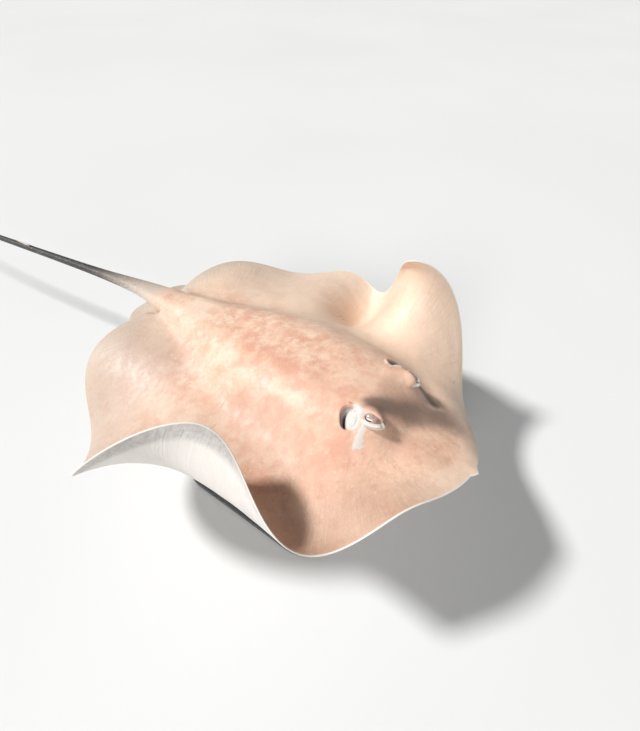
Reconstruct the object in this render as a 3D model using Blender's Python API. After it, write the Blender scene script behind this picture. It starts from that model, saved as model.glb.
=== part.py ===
"""Life-size pink whipray, swimming, held over the floor by a plain display stand.

Metres, +Z up. The animal heads towards -Y and its left is +X. The origin is the middle of the
stand's underside. "Back" is the distance from the snout along the unbent body. Each fin is a fan
of rays from the body's side line to the margin, bent up and down by a few waves.
"""

import math

import bmesh
import bpy
import numpy as np
from mathutils import Vector

# Disc outline, one side, as two curves that meet where the disc is widest
DISC_LENGTH = 1.05
HALF_SPAN = 0.595
WIDEST_BACK = 0.486
SNOUT_SLOPE = 84.0  # degrees between the front margin and the body's axis, at the snout
SNOUT_PULL = 0.125
FRONT_PULL = 0.24
REAR_PULL = 0.215
LOBE_PULL = 0.455
LOBE_SLOPE = 17.0
REAR_HALF_WIDTH = 0.068
NUB_HALF_WIDTH = 0.020
NUB_LENGTH = 0.012
NUB_BACK = 0.006

# Body between the fins
SIDE_START = 0.050
SIDE_END = 1.000
TAIL_ROOT_HALF_WIDTH = 0.050
NECK = 0.33  # where the head ends, as a part of the side line
SIDE_BULGE = 0.120  # how far the side line bows out between its ends
SIDE_FORWARD = 0.72  # below 1, the widest place moves forward
SIDE_FULLNESS = 0.8
HUMP_HEIGHT = 0.100
HUMP_SQUARENESS = 4  # higher gives a flatter top and steeper sides
HUMP_HALF_WIDTH = (0.080, 0.185, 0.40)  # at the snout, at the shoulders, and how far back those are
HUMP_NARROWS = (0.50, 0.55, 0.72)  # start, length and share
HUMP_SINKS = (0.42, 0.65, 0.68)
SNOUT_RISE = (0.22, 0.30)  # length and share of the gentle rise from the snout
FOREHEAD = (0.16, 0.13)  # start and length of the steep rise between the eyes
BELLY_DEPTH = 0.040
BELLY_WIDENS = 1.15
BELLY_RISE = 0.30
BELLY_SINKS = (0.50, 0.50, 0.80)
FIN_TOP = 0.018
FIN_UNDER = 0.008
FIN_FULL_RAY = 0.30  # shorter rays are thinner
EDGE = 0.0016  # half the thickness of the fin at its lip
LIP = 0.003
BODY_ARCH = -0.014
BODY_MIDDLE = 0.50
HEAD_ROLL = -9.0
ROLL_ENDS = 0.55

# Fin waves: the middle along the margin (0 snout, 1 tail), the half width and the angle in degrees.
# Root waves tilt whole rays up or down, curl waves roll up their outer part.
RIGHT_ROOT = ((0.14, 0.055, 38), (0.28, 0.105, -24), (0.74, 0.075, -21))
RIGHT_CURL = ((0.32, 0.075, 84), (0.41, 0.12, 148), (0.53, 0.10, 61), (0.855, 0.075, -87))
LEFT_ROOT = ((0.11, 0.12, -44), (0.385, 0.07, 26), (0.53, 0.06, -56), (0.77, 0.09, -15))
LEFT_CURL = ((0.445, 0.08, 57), (0.49, 0.095, 129), (0.68, 0.095, -17), (0.885, 0.095, 15))
STILL_FRONT = 0.06  # the rays nearest the snout fade to flat over this part of the margin
ROOT_BEND = 0.18
CURL_START = 0.09
CURL_LENGTH = 0.48
CURL_GROWTH = 1.5

# Head
EYE_PLACE = (0.090, 0.2485, 0.096)  # out, back, up
EYE_SIZE = (0.0178, 0.0238, 0.0178)  # half sizes across, along and up
ORBIT_PLACE = (0.088, 0.250)
ORBIT_HEIGHT = 0.013
ORBIT_SIZE = (0.028, 0.040)  # across and along
SPIRACLE_PLACE = (0.115, 0.289, 0.096)
SPIRACLE_SIZE = (0.027, 0.024, 0.028)  # half sizes across, along and deep
SPIRACLE_LEAN = 35.0  # degrees out from straight up
SPIRACLE_TURN = -20.0
MOUTH_PLACE = (0.0, 0.178, -0.036)
MOUTH_SIZE = (0.046, 0.006, 0.008)
NOSTRIL_PLACE = (0.040, 0.150, -0.031)
NOSTRIL_SIZE = (0.010, 0.006, 0.007)

# Tail, pelvic fins and sting
TAIL_LENGTH = 1.95
TAIL_SWING = 6.0  # degrees to the animal's right
TAIL_DROOP = 4.0
TAIL_UP = 0.012
TAIL_BEND = 0.25  # length over which the tail takes up its direction
TAIL_STRAIGHTENS = (0.90, 1.30, 0.90)  # start, length and share of the swing it loses
TAIL_LEVELS = (0.80, 1.20, 1.20)
TAIL_CUTS = (0.0, 0.36, 1.06, TAIL_LENGTH)
TAIL_ROOT_LENGTH = 0.19
TAIL_ROOT_FALL = 1.3
TAIL_ROOT_HALF_HEIGHT = 0.012
TAIL_BOXY = (0.35, 0.10)  # how square the root is, and over what length it turns round
WHIP_HALF_WIDTH = 0.0135
WHIP_FLATNESS = 0.92
WHIP_TAPER = 0.8
WHIP_TIP = 0.0018
PELVIC_MIDDLE = (0.050, 1.045)
PELVIC_SPREAD = 0.078
PELVIC_REACH = 0.070
PELVIC_UP = -0.019
PELVIC_HALF_THICKNESS = 0.0045
PELVIC_COLUMNS = (0, 0.3, 0.6, 0.85, 1)
STING_AT = 0.70
STING_LENGTH = 0.095
STING_HALF_WIDTH = 0.0040
STING_HALF_HEIGHT = 0.0018
STING_LIFT = 0.006
STING_POINT = 0.08

# Stand
BODY_HEIGHT = 0.42
STAND_BACK = 0.54
BASE_SIZE = (0.54, 0.58, 0.012)
BASE_CORNER = 0.12
BASE_BEVEL = 0.002
ROD_RADIUS = 0.011
ROD_SPACING = 0.20
COLLAR_RADIUS = 0.024
COLLAR_HEIGHT = 0.014
COLLAR_BEVEL = 0.002
ROD_SIDES = 16

GAP = 0.0004
HEAD_COLUMNS = 20
TRUNK_COLUMNS = 12
BODY_ROWS = ((0, 0.12, 6), (0.12, NECK, 12), (NECK, 0.58, 12), (0.58, 1, 13))  # start, end, count
FIN_COLUMNS = 9
EDGE_CROWDING = 1.25
RAY_STEPS = 24
PATH_STEPS = 40
TAIL_RINGS = (12, 14, 14)
TAIL_SIDES = (16, 12, 8)
STING_RINGS = 8
STING_SIDES = 8
CORNER_STEPS = 7
CREASE = 40.0  # edges sharper than this are shaded as edges


def smooth(x):
    """A ramp from 0 to 1 with level ends."""
    x = np.clip(x, 0, 1)
    return x * x * (3 - 2 * x)


def fall(x, rule):
    """1 before the rule's start, less its share after its length."""
    start, length, share = rule
    return 1 - share * smooth((x - start) / length)


def bezier(a, b, c, d, t):
    t = np.asarray(t)[..., None]
    return (1 - t) ** 3 * a + 3 * (1 - t) ** 2 * t * b + 3 * (1 - t) * t * t * c + t**3 * d


def margin(t):
    """The disc's edge on one side as (out, back): t is 0 beside the snout, 1 beside the tail."""
    slope = math.radians(SNOUT_SLOPE)
    lobe = math.radians(LOBE_SLOPE)
    snout = np.array([NUB_HALF_WIDTH, NUB_BACK])
    widest = np.array([HALF_SPAN, WIDEST_BACK])
    rear = np.array([REAR_HALF_WIDTH, DISC_LENGTH])
    snout_handle = snout + SNOUT_PULL * np.array([math.sin(slope), math.cos(slope)])
    lobe_handle = rear + LOBE_PULL * np.array([math.cos(lobe), math.sin(lobe)])
    t = np.asarray(t, float)
    front = bezier(snout, snout_handle, widest - [0, FRONT_PULL], widest, np.clip(2 * t, 0, 1))
    back = bezier(widest, widest + [0, REAR_PULL], lobe_handle, rear, np.clip(2 * t - 1, 0, 1))
    return np.where((t < 0.5)[..., None], front, back)


def side_line(t):
    """The line where the fin leaves the body, as (out, back)."""
    t = np.asarray(t, float)
    start_to_end = NUB_HALF_WIDTH + (TAIL_ROOT_HALF_WIDTH - NUB_HALF_WIDTH) * t
    bulge = SIDE_BULGE * np.sin(np.pi * t**SIDE_FORWARD) ** SIDE_FULLNESS
    return np.stack([start_to_end + bulge, SIDE_START + (SIDE_END - SIDE_START) * t], axis=-1)


def waves(rows, t):
    """The sum of the bell-shaped waves, in radians, faded out at the snout."""
    total = sum(angle * np.exp(-0.5 * ((t - middle) / width) ** 2) for middle, width, angle in rows)
    return np.radians(total) * smooth(t / STILL_FRONT)


def hump_height(out, back):
    """The raised back: a flat-topped ridge with a steep forehead, and a low orbit at each eye."""
    front, shoulders, shoulders_back = HUMP_HALF_WIDTH
    width = (front + (shoulders - front) * smooth(back / shoulders_back)) * fall(back, HUMP_NARROWS)
    snout_length, snout_share = SNOUT_RISE
    forehead_start, forehead_length = FOREHEAD
    rise = snout_share * smooth(back / snout_length)
    rise = rise + (1 - snout_share) * smooth((back - forehead_start) / forehead_length)
    ridge = HUMP_HEIGHT * rise * fall(back, HUMP_SINKS) * np.exp(-((out / width) ** HUMP_SQUARENESS))
    orbit = np.hypot((np.abs(out) - ORBIT_PLACE[0]) / ORBIT_SIZE[0], (back - ORBIT_PLACE[1]) / ORBIT_SIZE[1])
    return ridge + ORBIT_HEIGHT * np.exp(-(orbit**2)), width


def thickness(out, back, v, ray):
    """Heights of the back and the belly over the mid-plane: v is 0 at the body's side, 1 at the edge."""
    fin = np.sqrt(np.clip(ray / FIN_FULL_RAY, 0, 1)) * (1 - v**2)
    fade = 1 - v**4
    hump, width = hump_height(out, back)
    belly = BELLY_DEPTH * smooth(back / BELLY_RISE) ** SIDE_FULLNESS * fall(back, BELLY_SINKS)
    belly = belly * np.exp(-((out / (BELLY_WIDENS * width)) ** 4))
    top = EDGE + FIN_TOP * fin + hump * fade
    under = EDGE + FIN_UNDER * fin + belly * fade
    return top, under


def pose_body(points, back):
    """Arches the body, rolls its front and moves it over the stand; back is each point's own row."""
    x, y, z = np.moveaxis(points, -1, 0)
    back = np.maximum(back, SIDE_START)  # the snout keeps the height of the fins' first rays
    z = z + BODY_ARCH * (1 - ((back - BODY_MIDDLE) / BODY_MIDDLE) ** 2)
    roll = math.radians(HEAD_ROLL) * smooth((ROLL_ENDS - back) / BODY_MIDDLE)
    turned = x * np.cos(roll) - z * np.sin(roll)
    lifted = x * np.sin(roll) + z * np.cos(roll)
    return np.stack([turned, y - STAND_BACK, lifted + BODY_HEIGHT], axis=-1)


def fin_middle(t, v, root_waves, curl_waves):
    """The bent mid-surface of the left fin: each ray keeps its length while it tilts and curls."""
    root, edge = side_line(t), margin(t)
    length = np.linalg.norm(edge - root, axis=-1)
    heading = (edge - root) / length[..., None]
    reach = v * length
    along = reach[..., None] * (np.arange(RAY_STEPS) + 0.5) / RAY_STEPS
    tilt = waves(root_waves, t)[..., None] * smooth(along / ROOT_BEND)
    rolled = np.maximum(along - CURL_START, 0) / (CURL_LENGTH - CURL_START)
    angle = tilt + waves(curl_waves, t)[..., None] * rolled**CURL_GROWTH
    flat = np.cos(angle).mean(-1) * reach
    rise = np.sin(angle).mean(-1) * reach
    place = root + heading * flat[..., None]
    return np.stack([place[..., 0], place[..., 1], rise], axis=-1)


def fin_points(t, v, height, root_waves, curl_waves, side):
    """Points of the fin at a height over its bent mid-surface; side is 1 left and -1 right."""
    step = 1e-4
    middle = fin_middle(t, v, root_waves, curl_waves)
    along = fin_middle(t, v + step, root_waves, curl_waves) - middle
    later = np.minimum(t + step, 1)
    earlier = np.maximum(t - step, 0)
    across = fin_middle(later, v, root_waves, curl_waves) - fin_middle(earlier, v, root_waves, curl_waves)
    normal = np.cross(along, across)
    normal /= np.linalg.norm(normal, axis=-1)[..., None]
    points = middle + normal * height[..., None]
    points[..., 0] *= side
    return pose_body(points, side_line(t)[..., 1])


def material(name, colour, roughness, metallic=0.0):
    made = bpy.data.materials.new(name)
    made.use_nodes = True
    shader = made.node_tree.nodes["Principled BSDF"]
    shader.inputs["Base Color"].default_value = (*colour, 1)
    shader.inputs["Roughness"].default_value = roughness
    shader.inputs["Metallic"].default_value = metallic
    return made


def mesh_object(name, points, faces, finish):
    mesh = bpy.data.meshes.new(name)
    mesh.from_pydata([tuple(p) for p in points], [], faces)
    work = bmesh.new()
    work.from_mesh(mesh)
    bmesh.ops.triangulate(work, faces=work.faces)
    bmesh.ops.recalc_face_normals(work, faces=work.faces)
    work.to_mesh(mesh)
    work.free()
    mesh.shade_smooth()
    mesh.set_sharp_from_angle(angle=math.radians(CREASE))
    mesh.materials.append(finish)
    made = bpy.data.objects.new(name, mesh)
    bpy.context.scene.collection.objects.link(made)
    return made


def slab(name, top, under, lips, finish):
    """A closed solid between two grids; lips maps a grid's side to the points of its rounded edge."""
    rows, columns = top.shape[:2]
    points = [*top.reshape(-1, 3), *under.reshape(-1, 3)]
    upper = np.arange(rows * columns).reshape(rows, columns)
    lower = upper + rows * columns
    faces = []
    for grid in (upper, lower):
        for i in range(rows - 1):
            for j in range(columns - 1):
                faces.append((grid[i, j], grid[i, j + 1], grid[i + 1, j + 1], grid[i + 1, j]))
    borders = {
        "first_row": (upper[0], lower[0]),
        "last_row": (upper[-1], lower[-1]),
        "first_column": (upper[:, 0], lower[:, 0]),
        "last_column": (upper[:, -1], lower[:, -1]),
    }
    corners = {}
    for side, (high, low) in borders.items():
        if side not in lips:
            continue
        start = len(points)
        points.extend(lips[side])
        middle = list(range(start, len(points)))
        for chain in (high, low):
            for k in range(len(middle) - 1):
                faces.append((chain[k], chain[k + 1], middle[k + 1], middle[k]))
        corners[(high[0], low[0])] = middle[0]
        corners[(high[-1], low[-1])] = middle[-1]
    for side, (high, low) in borders.items():
        if side in lips:
            continue
        for k in range(len(high) - 1):
            ring = [high[k], high[k + 1]]
            ring += [corners[pair] for pair in [(high[k + 1], low[k + 1])] if pair in corners]
            ring += [low[k + 1], low[k]]
            ring += [corners[pair] for pair in [(high[k], low[k])] if pair in corners]
            faces.append(tuple(ring))
    return mesh_object(name, points, [tuple(int(i) for i in face) for face in faces], finish)


def side_stations():
    """Places along the side line, closer together beside the eyes and the raised lobes."""
    rows = [np.linspace(start, end, count)[:-1] for start, end, count in BODY_ROWS]
    return np.append(np.concatenate(rows), 1.0)


def ray_stations(ray):
    """Places along each ray: closer together near the edge, the last one a lip short of it."""
    fractions = 1 - (1 - np.linspace(0, 1, FIN_COLUMNS)) ** EDGE_CROWDING
    return fractions * (1 - LIP / ray[..., None])


def build_fin(name, root_waves, curl_waves, side, finish):
    t = side_stations()
    ray = np.linalg.norm(margin(t) - side_line(t), axis=-1)
    v = ray_stations(ray)
    t_grid = np.broadcast_to(t[:, None], v.shape)
    flat = side_line(t_grid) + (margin(t_grid) - side_line(t_grid)) * v[..., None]
    top, under = thickness(flat[..., 0], flat[..., 1], v, ray[:, None])
    high = fin_points(t_grid, v, top, root_waves, curl_waves, side)
    low = fin_points(t_grid, v, -under, root_waves, curl_waves, side)
    lip = fin_points(t, np.ones_like(t), np.zeros_like(t), root_waves, curl_waves, side)
    return slab(name, high, low, {"last_column": lip}, finish)


def spindle_point(column, t):
    """Places across the body between the side lines: column runs from -1 right to 1 left."""
    line = side_line(t)
    out = column * (line[..., 0] - GAP)
    return out, line[..., 1] + 0 * out


def spindle_grids(out, back, v, ray):
    top, under = thickness(out, back, v, ray)
    high = pose_body(np.stack([out, back, top], axis=-1), back)
    low = pose_body(np.stack([out, back, -under], axis=-1), back)
    return high, low


def body_ray(t):
    return np.linalg.norm(margin(t) - side_line(t), axis=-1)


def build_head(finish):
    columns = np.linspace(-1, 1, HEAD_COLUMNS + 1)
    out = columns * (NUB_HALF_WIDTH - GAP)
    front = NUB_BACK - NUB_LENGTH * (1 - np.abs(columns) ** EDGE_CROWDING)
    ray = SIDE_START - front
    v = ray_stations(ray).T[::-1]
    nub_back = SIDE_START - ray * v
    nub_out = np.broadcast_to(out, v.shape)
    first = spindle_grids(nub_out[:-1], nub_back[:-1], v[:-1], ray)
    t = side_stations()
    t = t[t <= NECK + 1e-9]
    t[-1] -= GAP / 2
    t_grid, c_grid = np.meshgrid(t, columns, indexing="ij")
    wide_out, wide_back = spindle_point(c_grid, t_grid)
    second = spindle_grids(wide_out, wide_back, 0 * wide_out, body_ray(t_grid))
    lip = pose_body(np.stack([out, front, 0 * out], axis=-1), front)
    high = np.concatenate([first[0], second[0]])
    low = np.concatenate([first[1], second[1]])
    return slab("head", high, low, {"first_row": lip}, finish)


def build_trunk(finish):
    columns = np.linspace(-1, 1, TRUNK_COLUMNS + 1)
    t = side_stations()
    t = t[t >= NECK - 1e-9]
    t[0] += GAP / 2
    t_grid, c_grid = np.meshgrid(t, columns, indexing="ij")
    out, back = spindle_point(c_grid, t_grid)
    high, low = spindle_grids(out, back, 0 * out, body_ray(t_grid))
    return slab("trunk", high, low, {}, finish)


def tail_path(q):
    """Centre of the tail at a distance q behind its root."""
    along = np.asarray(q)[..., None] * np.linspace(0, 1, PATH_STEPS)
    bend = smooth(along / TAIL_BEND)
    swing = np.radians(TAIL_SWING) * bend * fall(along, TAIL_STRAIGHTENS)
    droop = np.radians(TAIL_DROOP) * bend * fall(along, TAIL_LEVELS)
    x = -(np.sin(swing) * np.cos(droop)).mean(-1) * q
    y = (np.cos(swing) * np.cos(droop)).mean(-1) * q
    z = -np.sin(droop).mean(-1) * q
    root = np.array([0, SIDE_END - STAND_BACK, TAIL_UP + BODY_HEIGHT])
    return root + np.stack([x, y, z], axis=-1)


def tail_size(q):
    """Half width and half height of the tail: a broad flat root that soon becomes a whip."""
    root = np.exp(-((q / TAIL_ROOT_LENGTH) ** TAIL_ROOT_FALL))
    whip = WHIP_HALF_WIDTH * (1 - np.minimum(q / TAIL_LENGTH, 1)) ** WHIP_TAPER + WHIP_TIP
    half_width = whip + (TAIL_ROOT_HALF_WIDTH - GAP - WHIP_HALF_WIDTH - WHIP_TIP) * root
    return half_width, WHIP_FLATNESS * whip + TAIL_ROOT_HALF_HEIGHT * root


def tail_frame(q):
    """The tail's own directions at q: across to the left, and up."""
    ahead = tail_path(q + 1e-3) - tail_path(q)
    ahead /= np.linalg.norm(ahead)
    across = np.array([1.0, 0, 0])
    across -= ahead * across.dot(ahead)
    across /= np.linalg.norm(across)
    return across, np.cross(across, ahead)


def tail_ring(q, sides):
    """The tail's cross-section at q: boxy at the root, an ellipse further on."""
    turn = np.arange(sides) * 2 * np.pi / sides
    half_width, half_height = tail_size(q)
    power = 1 - TAIL_BOXY[0] * np.exp(-q / TAIL_BOXY[1])
    wide = np.sign(np.cos(turn)) * np.abs(np.cos(turn)) ** power * half_width
    high = np.sign(np.sin(turn)) * np.abs(np.sin(turn)) ** power * half_height
    across, up = tail_frame(q)
    return tail_path(q) + wide[:, None] * across + high[:, None] * up


def build_tube(name, rings, finish):
    """A closed tube through rings of equal size, capped at both ends."""
    count, sides = len(rings), len(rings[0])
    faces = [tuple(range(sides)), tuple((count - 1) * sides + k for k in range(sides))]
    for i in range(count - 1):
        for k in range(sides):
            after = (k + 1) % sides
            faces.append((i * sides + k, i * sides + after, (i + 1) * sides + after, (i + 1) * sides + k))
    return mesh_object(name, np.concatenate(rings), faces, finish)


def build_tail(finish):
    for k, name in enumerate(("tail_root", "tail_middle", "tail_whip")):
        places = np.linspace(TAIL_CUTS[k] + GAP, TAIL_CUTS[k + 1], TAIL_RINGS[k])
        build_tube(name, [tail_ring(q, TAIL_SIDES[k]) for q in places], finish)


def build_sting(finish):
    """A flat tapering spine that lies along the top of the tail and lifts a little at its tip."""
    rings = []
    turn = np.arange(STING_SIDES) * 2 * np.pi / STING_SIDES
    for part in np.linspace(0, 1, STING_RINGS):
        q = STING_AT + part * STING_LENGTH
        across, up = tail_frame(q)
        size = (1 - part**2) * (1 - STING_POINT) + STING_POINT
        rise = tail_size(q)[1] + STING_HALF_HEIGHT + GAP + STING_LIFT * part**2
        flat = np.cos(turn)[:, None] * across * STING_HALF_WIDTH * size
        tall = np.sin(turn)[:, None] * up * STING_HALF_HEIGHT * size
        rings.append(tail_path(q) + rise * up + flat + tall)
    build_tube("tail_sting", rings, finish)


def build_pelvic_fin(name, side, finish):
    """A small rounded lobe beside the tail's root, under the disc's rear end."""
    rows = np.sin(np.linspace(0.02, 0.98, 7) * np.pi / 2)
    first = SIDE_END + 3 * GAP
    back = first + (PELVIC_MIDDLE[1] + PELVIC_REACH - first) * rows
    inner = tail_size(back - SIDE_END)[0] + GAP
    reach = np.clip((back - PELVIC_MIDDLE[1]) / PELVIC_REACH, -1, 1)
    outer = PELVIC_MIDDLE[0] + PELVIC_SPREAD * np.sqrt(1 - reach**2)
    v = np.array(PELVIC_COLUMNS)
    out = inner[:, None] + (outer - inner)[:, None] * v * (1 - LIP / (outer - inner)[:, None])
    swing = tail_path(back - SIDE_END)[:, 0]
    half = EDGE + (PELVIC_HALF_THICKNESS - EDGE) * (1 - v**2) * (1 - rows[:, None] ** 4)

    def placed(out, height):
        y = np.broadcast_to(back[:, None] - STAND_BACK, out.shape)
        return np.stack([side * out + swing[:, None], y, BODY_HEIGHT + PELVIC_UP + height], axis=-1)

    lip = placed(outer[:, None], 0 * outer[:, None])[:, 0]
    slab(name, placed(out, half), placed(out, -half), {"last_column": lip}, finish)


def posed(place, side=1):
    """A place on the head, given as (out, back, up), where it comes to lie on the posed body."""
    out, back, up = place
    return Vector(pose_body(np.array([side * out, back, up]), back))


def ball(name, place, size, finish, rings=9, segments=14):
    """A closed ball or egg with the given half sizes."""
    mesh = bpy.data.meshes.new(name)
    work = bmesh.new()
    bmesh.ops.create_uvsphere(work, u_segments=segments, v_segments=rings, radius=1)
    bmesh.ops.scale(work, vec=Vector(size), verts=work.verts)
    work.to_mesh(mesh)
    work.free()
    mesh.shade_smooth()
    if finish:
        mesh.materials.append(finish)
    made = bpy.data.objects.new(name, mesh)
    made.location = place
    bpy.context.scene.collection.objects.link(made)
    return made


def carve(target, cutter):
    """Takes the cutter's shape out of the target and hides the cutter."""
    cutter.hide_render = True
    cutter.display_type = "WIRE"
    cut = target.modifiers.new(cutter.name, "BOOLEAN")
    cut.operation = "DIFFERENCE"
    cut.object = cutter


def build_eyes(head, finish):
    for name, side in (("left", 1), ("right", -1)):
        place = posed(EYE_PLACE, side)
        ball("eye_" + name, place, EYE_SIZE, finish)
        carve(head, ball("socket_" + name, place, [size + GAP for size in EYE_SIZE], None))
        spiracle = ball("spiracle_" + name, posed(SPIRACLE_PLACE, side), SPIRACLE_SIZE, None, 8, 14)
        spiracle.rotation_euler = (0, math.radians(SPIRACLE_LEAN) * side, math.radians(SPIRACLE_TURN) * side)
        carve(head, spiracle)
        carve(head, ball("nostril_" + name, posed(NOSTRIL_PLACE, side), NOSTRIL_SIZE, None, 6, 10))


def build_mouth(head):
    carve(head, ball("mouth", posed(MOUTH_PLACE), MOUTH_SIZE, None, 6, 16))


def rounded_outline(width, length, corner, inset):
    """Corner points of a rectangle with round corners, drawn in by the inset."""
    points = []
    for k, (sx, sy) in enumerate(((1, 1), (-1, 1), (-1, -1), (1, -1))):
        for turn in np.linspace(0, np.pi / 2, CORNER_STEPS) + k * np.pi / 2:
            radius = corner - inset
            x = sx * (width / 2 - corner) + radius * math.cos(turn)
            y = sy * (length / 2 - corner) + radius * math.sin(turn)
            points.append((x, y))
    return np.array(points)


def build_base(finish):
    width, length, height = BASE_SIZE
    rings = []
    for level, inset in ((0, BASE_BEVEL), (BASE_BEVEL, 0), (height - BASE_BEVEL, 0), (height, BASE_BEVEL)):
        outline = rounded_outline(width, length, BASE_CORNER, inset)
        rings.append(np.column_stack([outline, np.full(len(outline), level)]))
    build_tube("stand_base", rings, finish)


def build_rod(name, y, trunk, finish):
    """A turned rod with a wide foot, its top shaped to the belly that it carries."""
    foot = BASE_SIZE[2] + 2 * GAP
    profile = (
        (COLLAR_RADIUS, foot),
        (COLLAR_RADIUS, foot + COLLAR_HEIGHT - COLLAR_BEVEL),
        (COLLAR_RADIUS - COLLAR_BEVEL, foot + COLLAR_HEIGHT),
        (ROD_RADIUS, foot + COLLAR_HEIGHT),
        (ROD_RADIUS, BODY_HEIGHT),
    )
    turn = np.arange(ROD_SIDES) * 2 * np.pi / ROD_SIDES
    circle = np.column_stack([np.cos(turn), np.sin(turn), 0 * turn])
    rings = [circle * radius + [0, y, height] for radius, height in profile]
    rod = build_tube(name, rings, finish)
    cut = rod.modifiers.new("belly", "BOOLEAN")
    cut.operation = "DIFFERENCE"
    cut.object = trunk
    bpy.context.view_layer.update()
    shaped = bpy.data.meshes.new_from_object(rod.evaluated_get(bpy.context.evaluated_depsgraph_get()))
    rod.modifiers.remove(cut)
    rod.data = shaped
    rod.location.z = -GAP


def clear_scene():
    for old in list(bpy.data.objects):
        bpy.data.objects.remove(old)


def main():
    clear_scene()
    skin = material("back_skin", (0.62, 0.44, 0.34), 0.5)
    tail_skin = material("tail_skin", (0.20, 0.17, 0.15), 0.5)
    eye = material("eye", (0.35, 0.29, 0.26), 0.15)
    sting = material("sting", (0.72, 0.66, 0.54), 0.4)
    steel = material("brushed_steel", (0.55, 0.56, 0.57), 0.35, 1.0)
    painted = material("painted_base", (0.10, 0.10, 0.105), 0.4)
    head = build_head(skin)
    trunk = build_trunk(skin)
    build_fin("pectoral_fin_left", LEFT_ROOT, LEFT_CURL, 1, skin)
    build_fin("pectoral_fin_right", RIGHT_ROOT, RIGHT_CURL, -1, skin)
    build_pelvic_fin("pelvic_fin_left", 1, skin)
    build_pelvic_fin("pelvic_fin_right", -1, skin)
    build_tail(tail_skin)
    build_sting(sting)
    build_eyes(head, eye)
    build_mouth(head)
    build_base(painted)
    build_rod("stand_rod_front", -ROD_SPACING / 2, trunk, steel)
    build_rod("stand_rod_rear", ROD_SPACING / 2, trunk, steel)


main()
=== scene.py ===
import math

import bmesh
import bpy
import numpy as np
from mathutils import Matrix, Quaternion, Vector


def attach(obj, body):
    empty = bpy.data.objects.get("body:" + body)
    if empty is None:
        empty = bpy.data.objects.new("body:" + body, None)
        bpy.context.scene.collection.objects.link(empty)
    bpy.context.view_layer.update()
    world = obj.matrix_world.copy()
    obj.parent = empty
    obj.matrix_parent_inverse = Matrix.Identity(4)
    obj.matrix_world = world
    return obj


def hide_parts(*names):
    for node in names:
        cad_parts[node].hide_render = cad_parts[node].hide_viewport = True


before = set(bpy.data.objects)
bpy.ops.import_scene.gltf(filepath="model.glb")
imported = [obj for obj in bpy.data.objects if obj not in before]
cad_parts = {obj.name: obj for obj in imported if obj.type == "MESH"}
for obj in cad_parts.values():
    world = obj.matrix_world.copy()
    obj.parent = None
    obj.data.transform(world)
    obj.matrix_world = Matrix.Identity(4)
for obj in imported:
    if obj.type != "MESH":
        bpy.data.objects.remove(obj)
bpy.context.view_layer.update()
print("frame loaded:", len(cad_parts), "solids")

# Pink whipray, life size, swimming over a plain stand.
# "back" is the way from the snout along the unbent body, "out" the way from its middle line.

disc = {
    "length": 1.05, "halfSpan": 0.595, "widestBack": 0.486,
    "snoutSlope": 84, "snoutPull": 0.125, "frontPull": 0.24,
    "rearPull": 0.215, "lobePull": 0.455, "lobeSlope": 17, "rearHalfWidth": 0.068,
    "nubHalfWidth": 0.020, "nubLength": 0.012, "nubBack": 0.006,
    "sideStart": 0.050, "sideEnd": 1.000, "sideBulge": 0.120, "sideSkew": 0.72, "sidePower": 0.8,
    "tailHalfWidth": 0.050, "hump": 0.100, "belly": 0.040, "bellyRise": 0.30, "bellyWider": 1.15,
    "bellyPower": 0.8, "nubPower": 1.25, "unevenFade": 0.05, "unevenUnder": 0.6,
    "rearRound": (0.985, 0.0155), "rearRoundFade": 0.3,
    "finTop": 0.018, "finUnder": 0.008, "finFull": 0.30, "edge": 0.0016, "lip": 0.003,
    "humpWidths": (0.080, 0.185, 0.40), "humpNarrows": (0.50, 0.55, 0.72), "humpSinks": (0.42, 0.65, 0.68),
    "snoutRise": (0.22, 0.30), "forehead": (0.16, 0.13), "bellySinks": (0.50, 0.50, 0.80),
    "orbitOut": 0.088, "orbitBack": 0.250, "orbitHeight": 0.013, "orbitAcross": 0.028, "orbitAlong": 0.040,
}
swim = {
    "arch": -0.014, "archMiddle": 0.5, "roll": -9, "rollEnd": 0.55, "rollLength": 0.5,
    "height": 0.42, "standBack": 0.54,
    "stillFront": 0.06, "rootBend": 0.18, "curlStart": 0.09, "curlLength": 0.48, "curlPower": 1.5,
    # middle along the margin, half width, degrees
    "rightRoot": ((0.14, 0.055, 38), (0.28, 0.105, -24), (0.74, 0.075, -21)),
    "rightCurl": ((0.32, 0.075, 84), (0.41, 0.12, 148), (0.53, 0.10, 61), (0.855, 0.075, -87)),
    "leftRoot": ((0.11, 0.12, -44), (0.385, 0.07, 26), (0.53, 0.06, -56), (0.77, 0.09, -15)),
    "leftCurl": ((0.445, 0.08, 57), (0.49, 0.095, 129), (0.68, 0.095, -17), (0.885, 0.095, 15)),
}


def smooth(x):
    # ramp from 0 to 1 with level ends: x squared times (3 - 2x)
    x = np.clip(x, 0, 1)
    return x * x * (3 - 2 * x)


def larger(a, b, soft):
    # the larger of two heights, with the crease between them rounded over "soft"
    return 0.5 * (a + b + np.sqrt((a - b) ** 2 + soft**2))


def rise(x, start, length):
    # 0 before the start, 1 from the length on
    return smooth((x - start) / length)


def below(x, limit, length):
    # 1 well under the limit, 0 over it
    return smooth((limit - x) / length)


def bell(x, width, middle=0.0):
    # 1 at the middle, about a third at the width
    return np.exp(-(((x - middle) / width) ** 2))


def bezier(a, b, c, d, t):
    # cubic curve from a to d, pulled by b and c
    t = np.asarray(t)[..., None]
    return (1 - t) ** 3 * a + 3 * (1 - t) ** 2 * t * b + 3 * (1 - t) * t * t * c + t**3 * d


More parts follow.
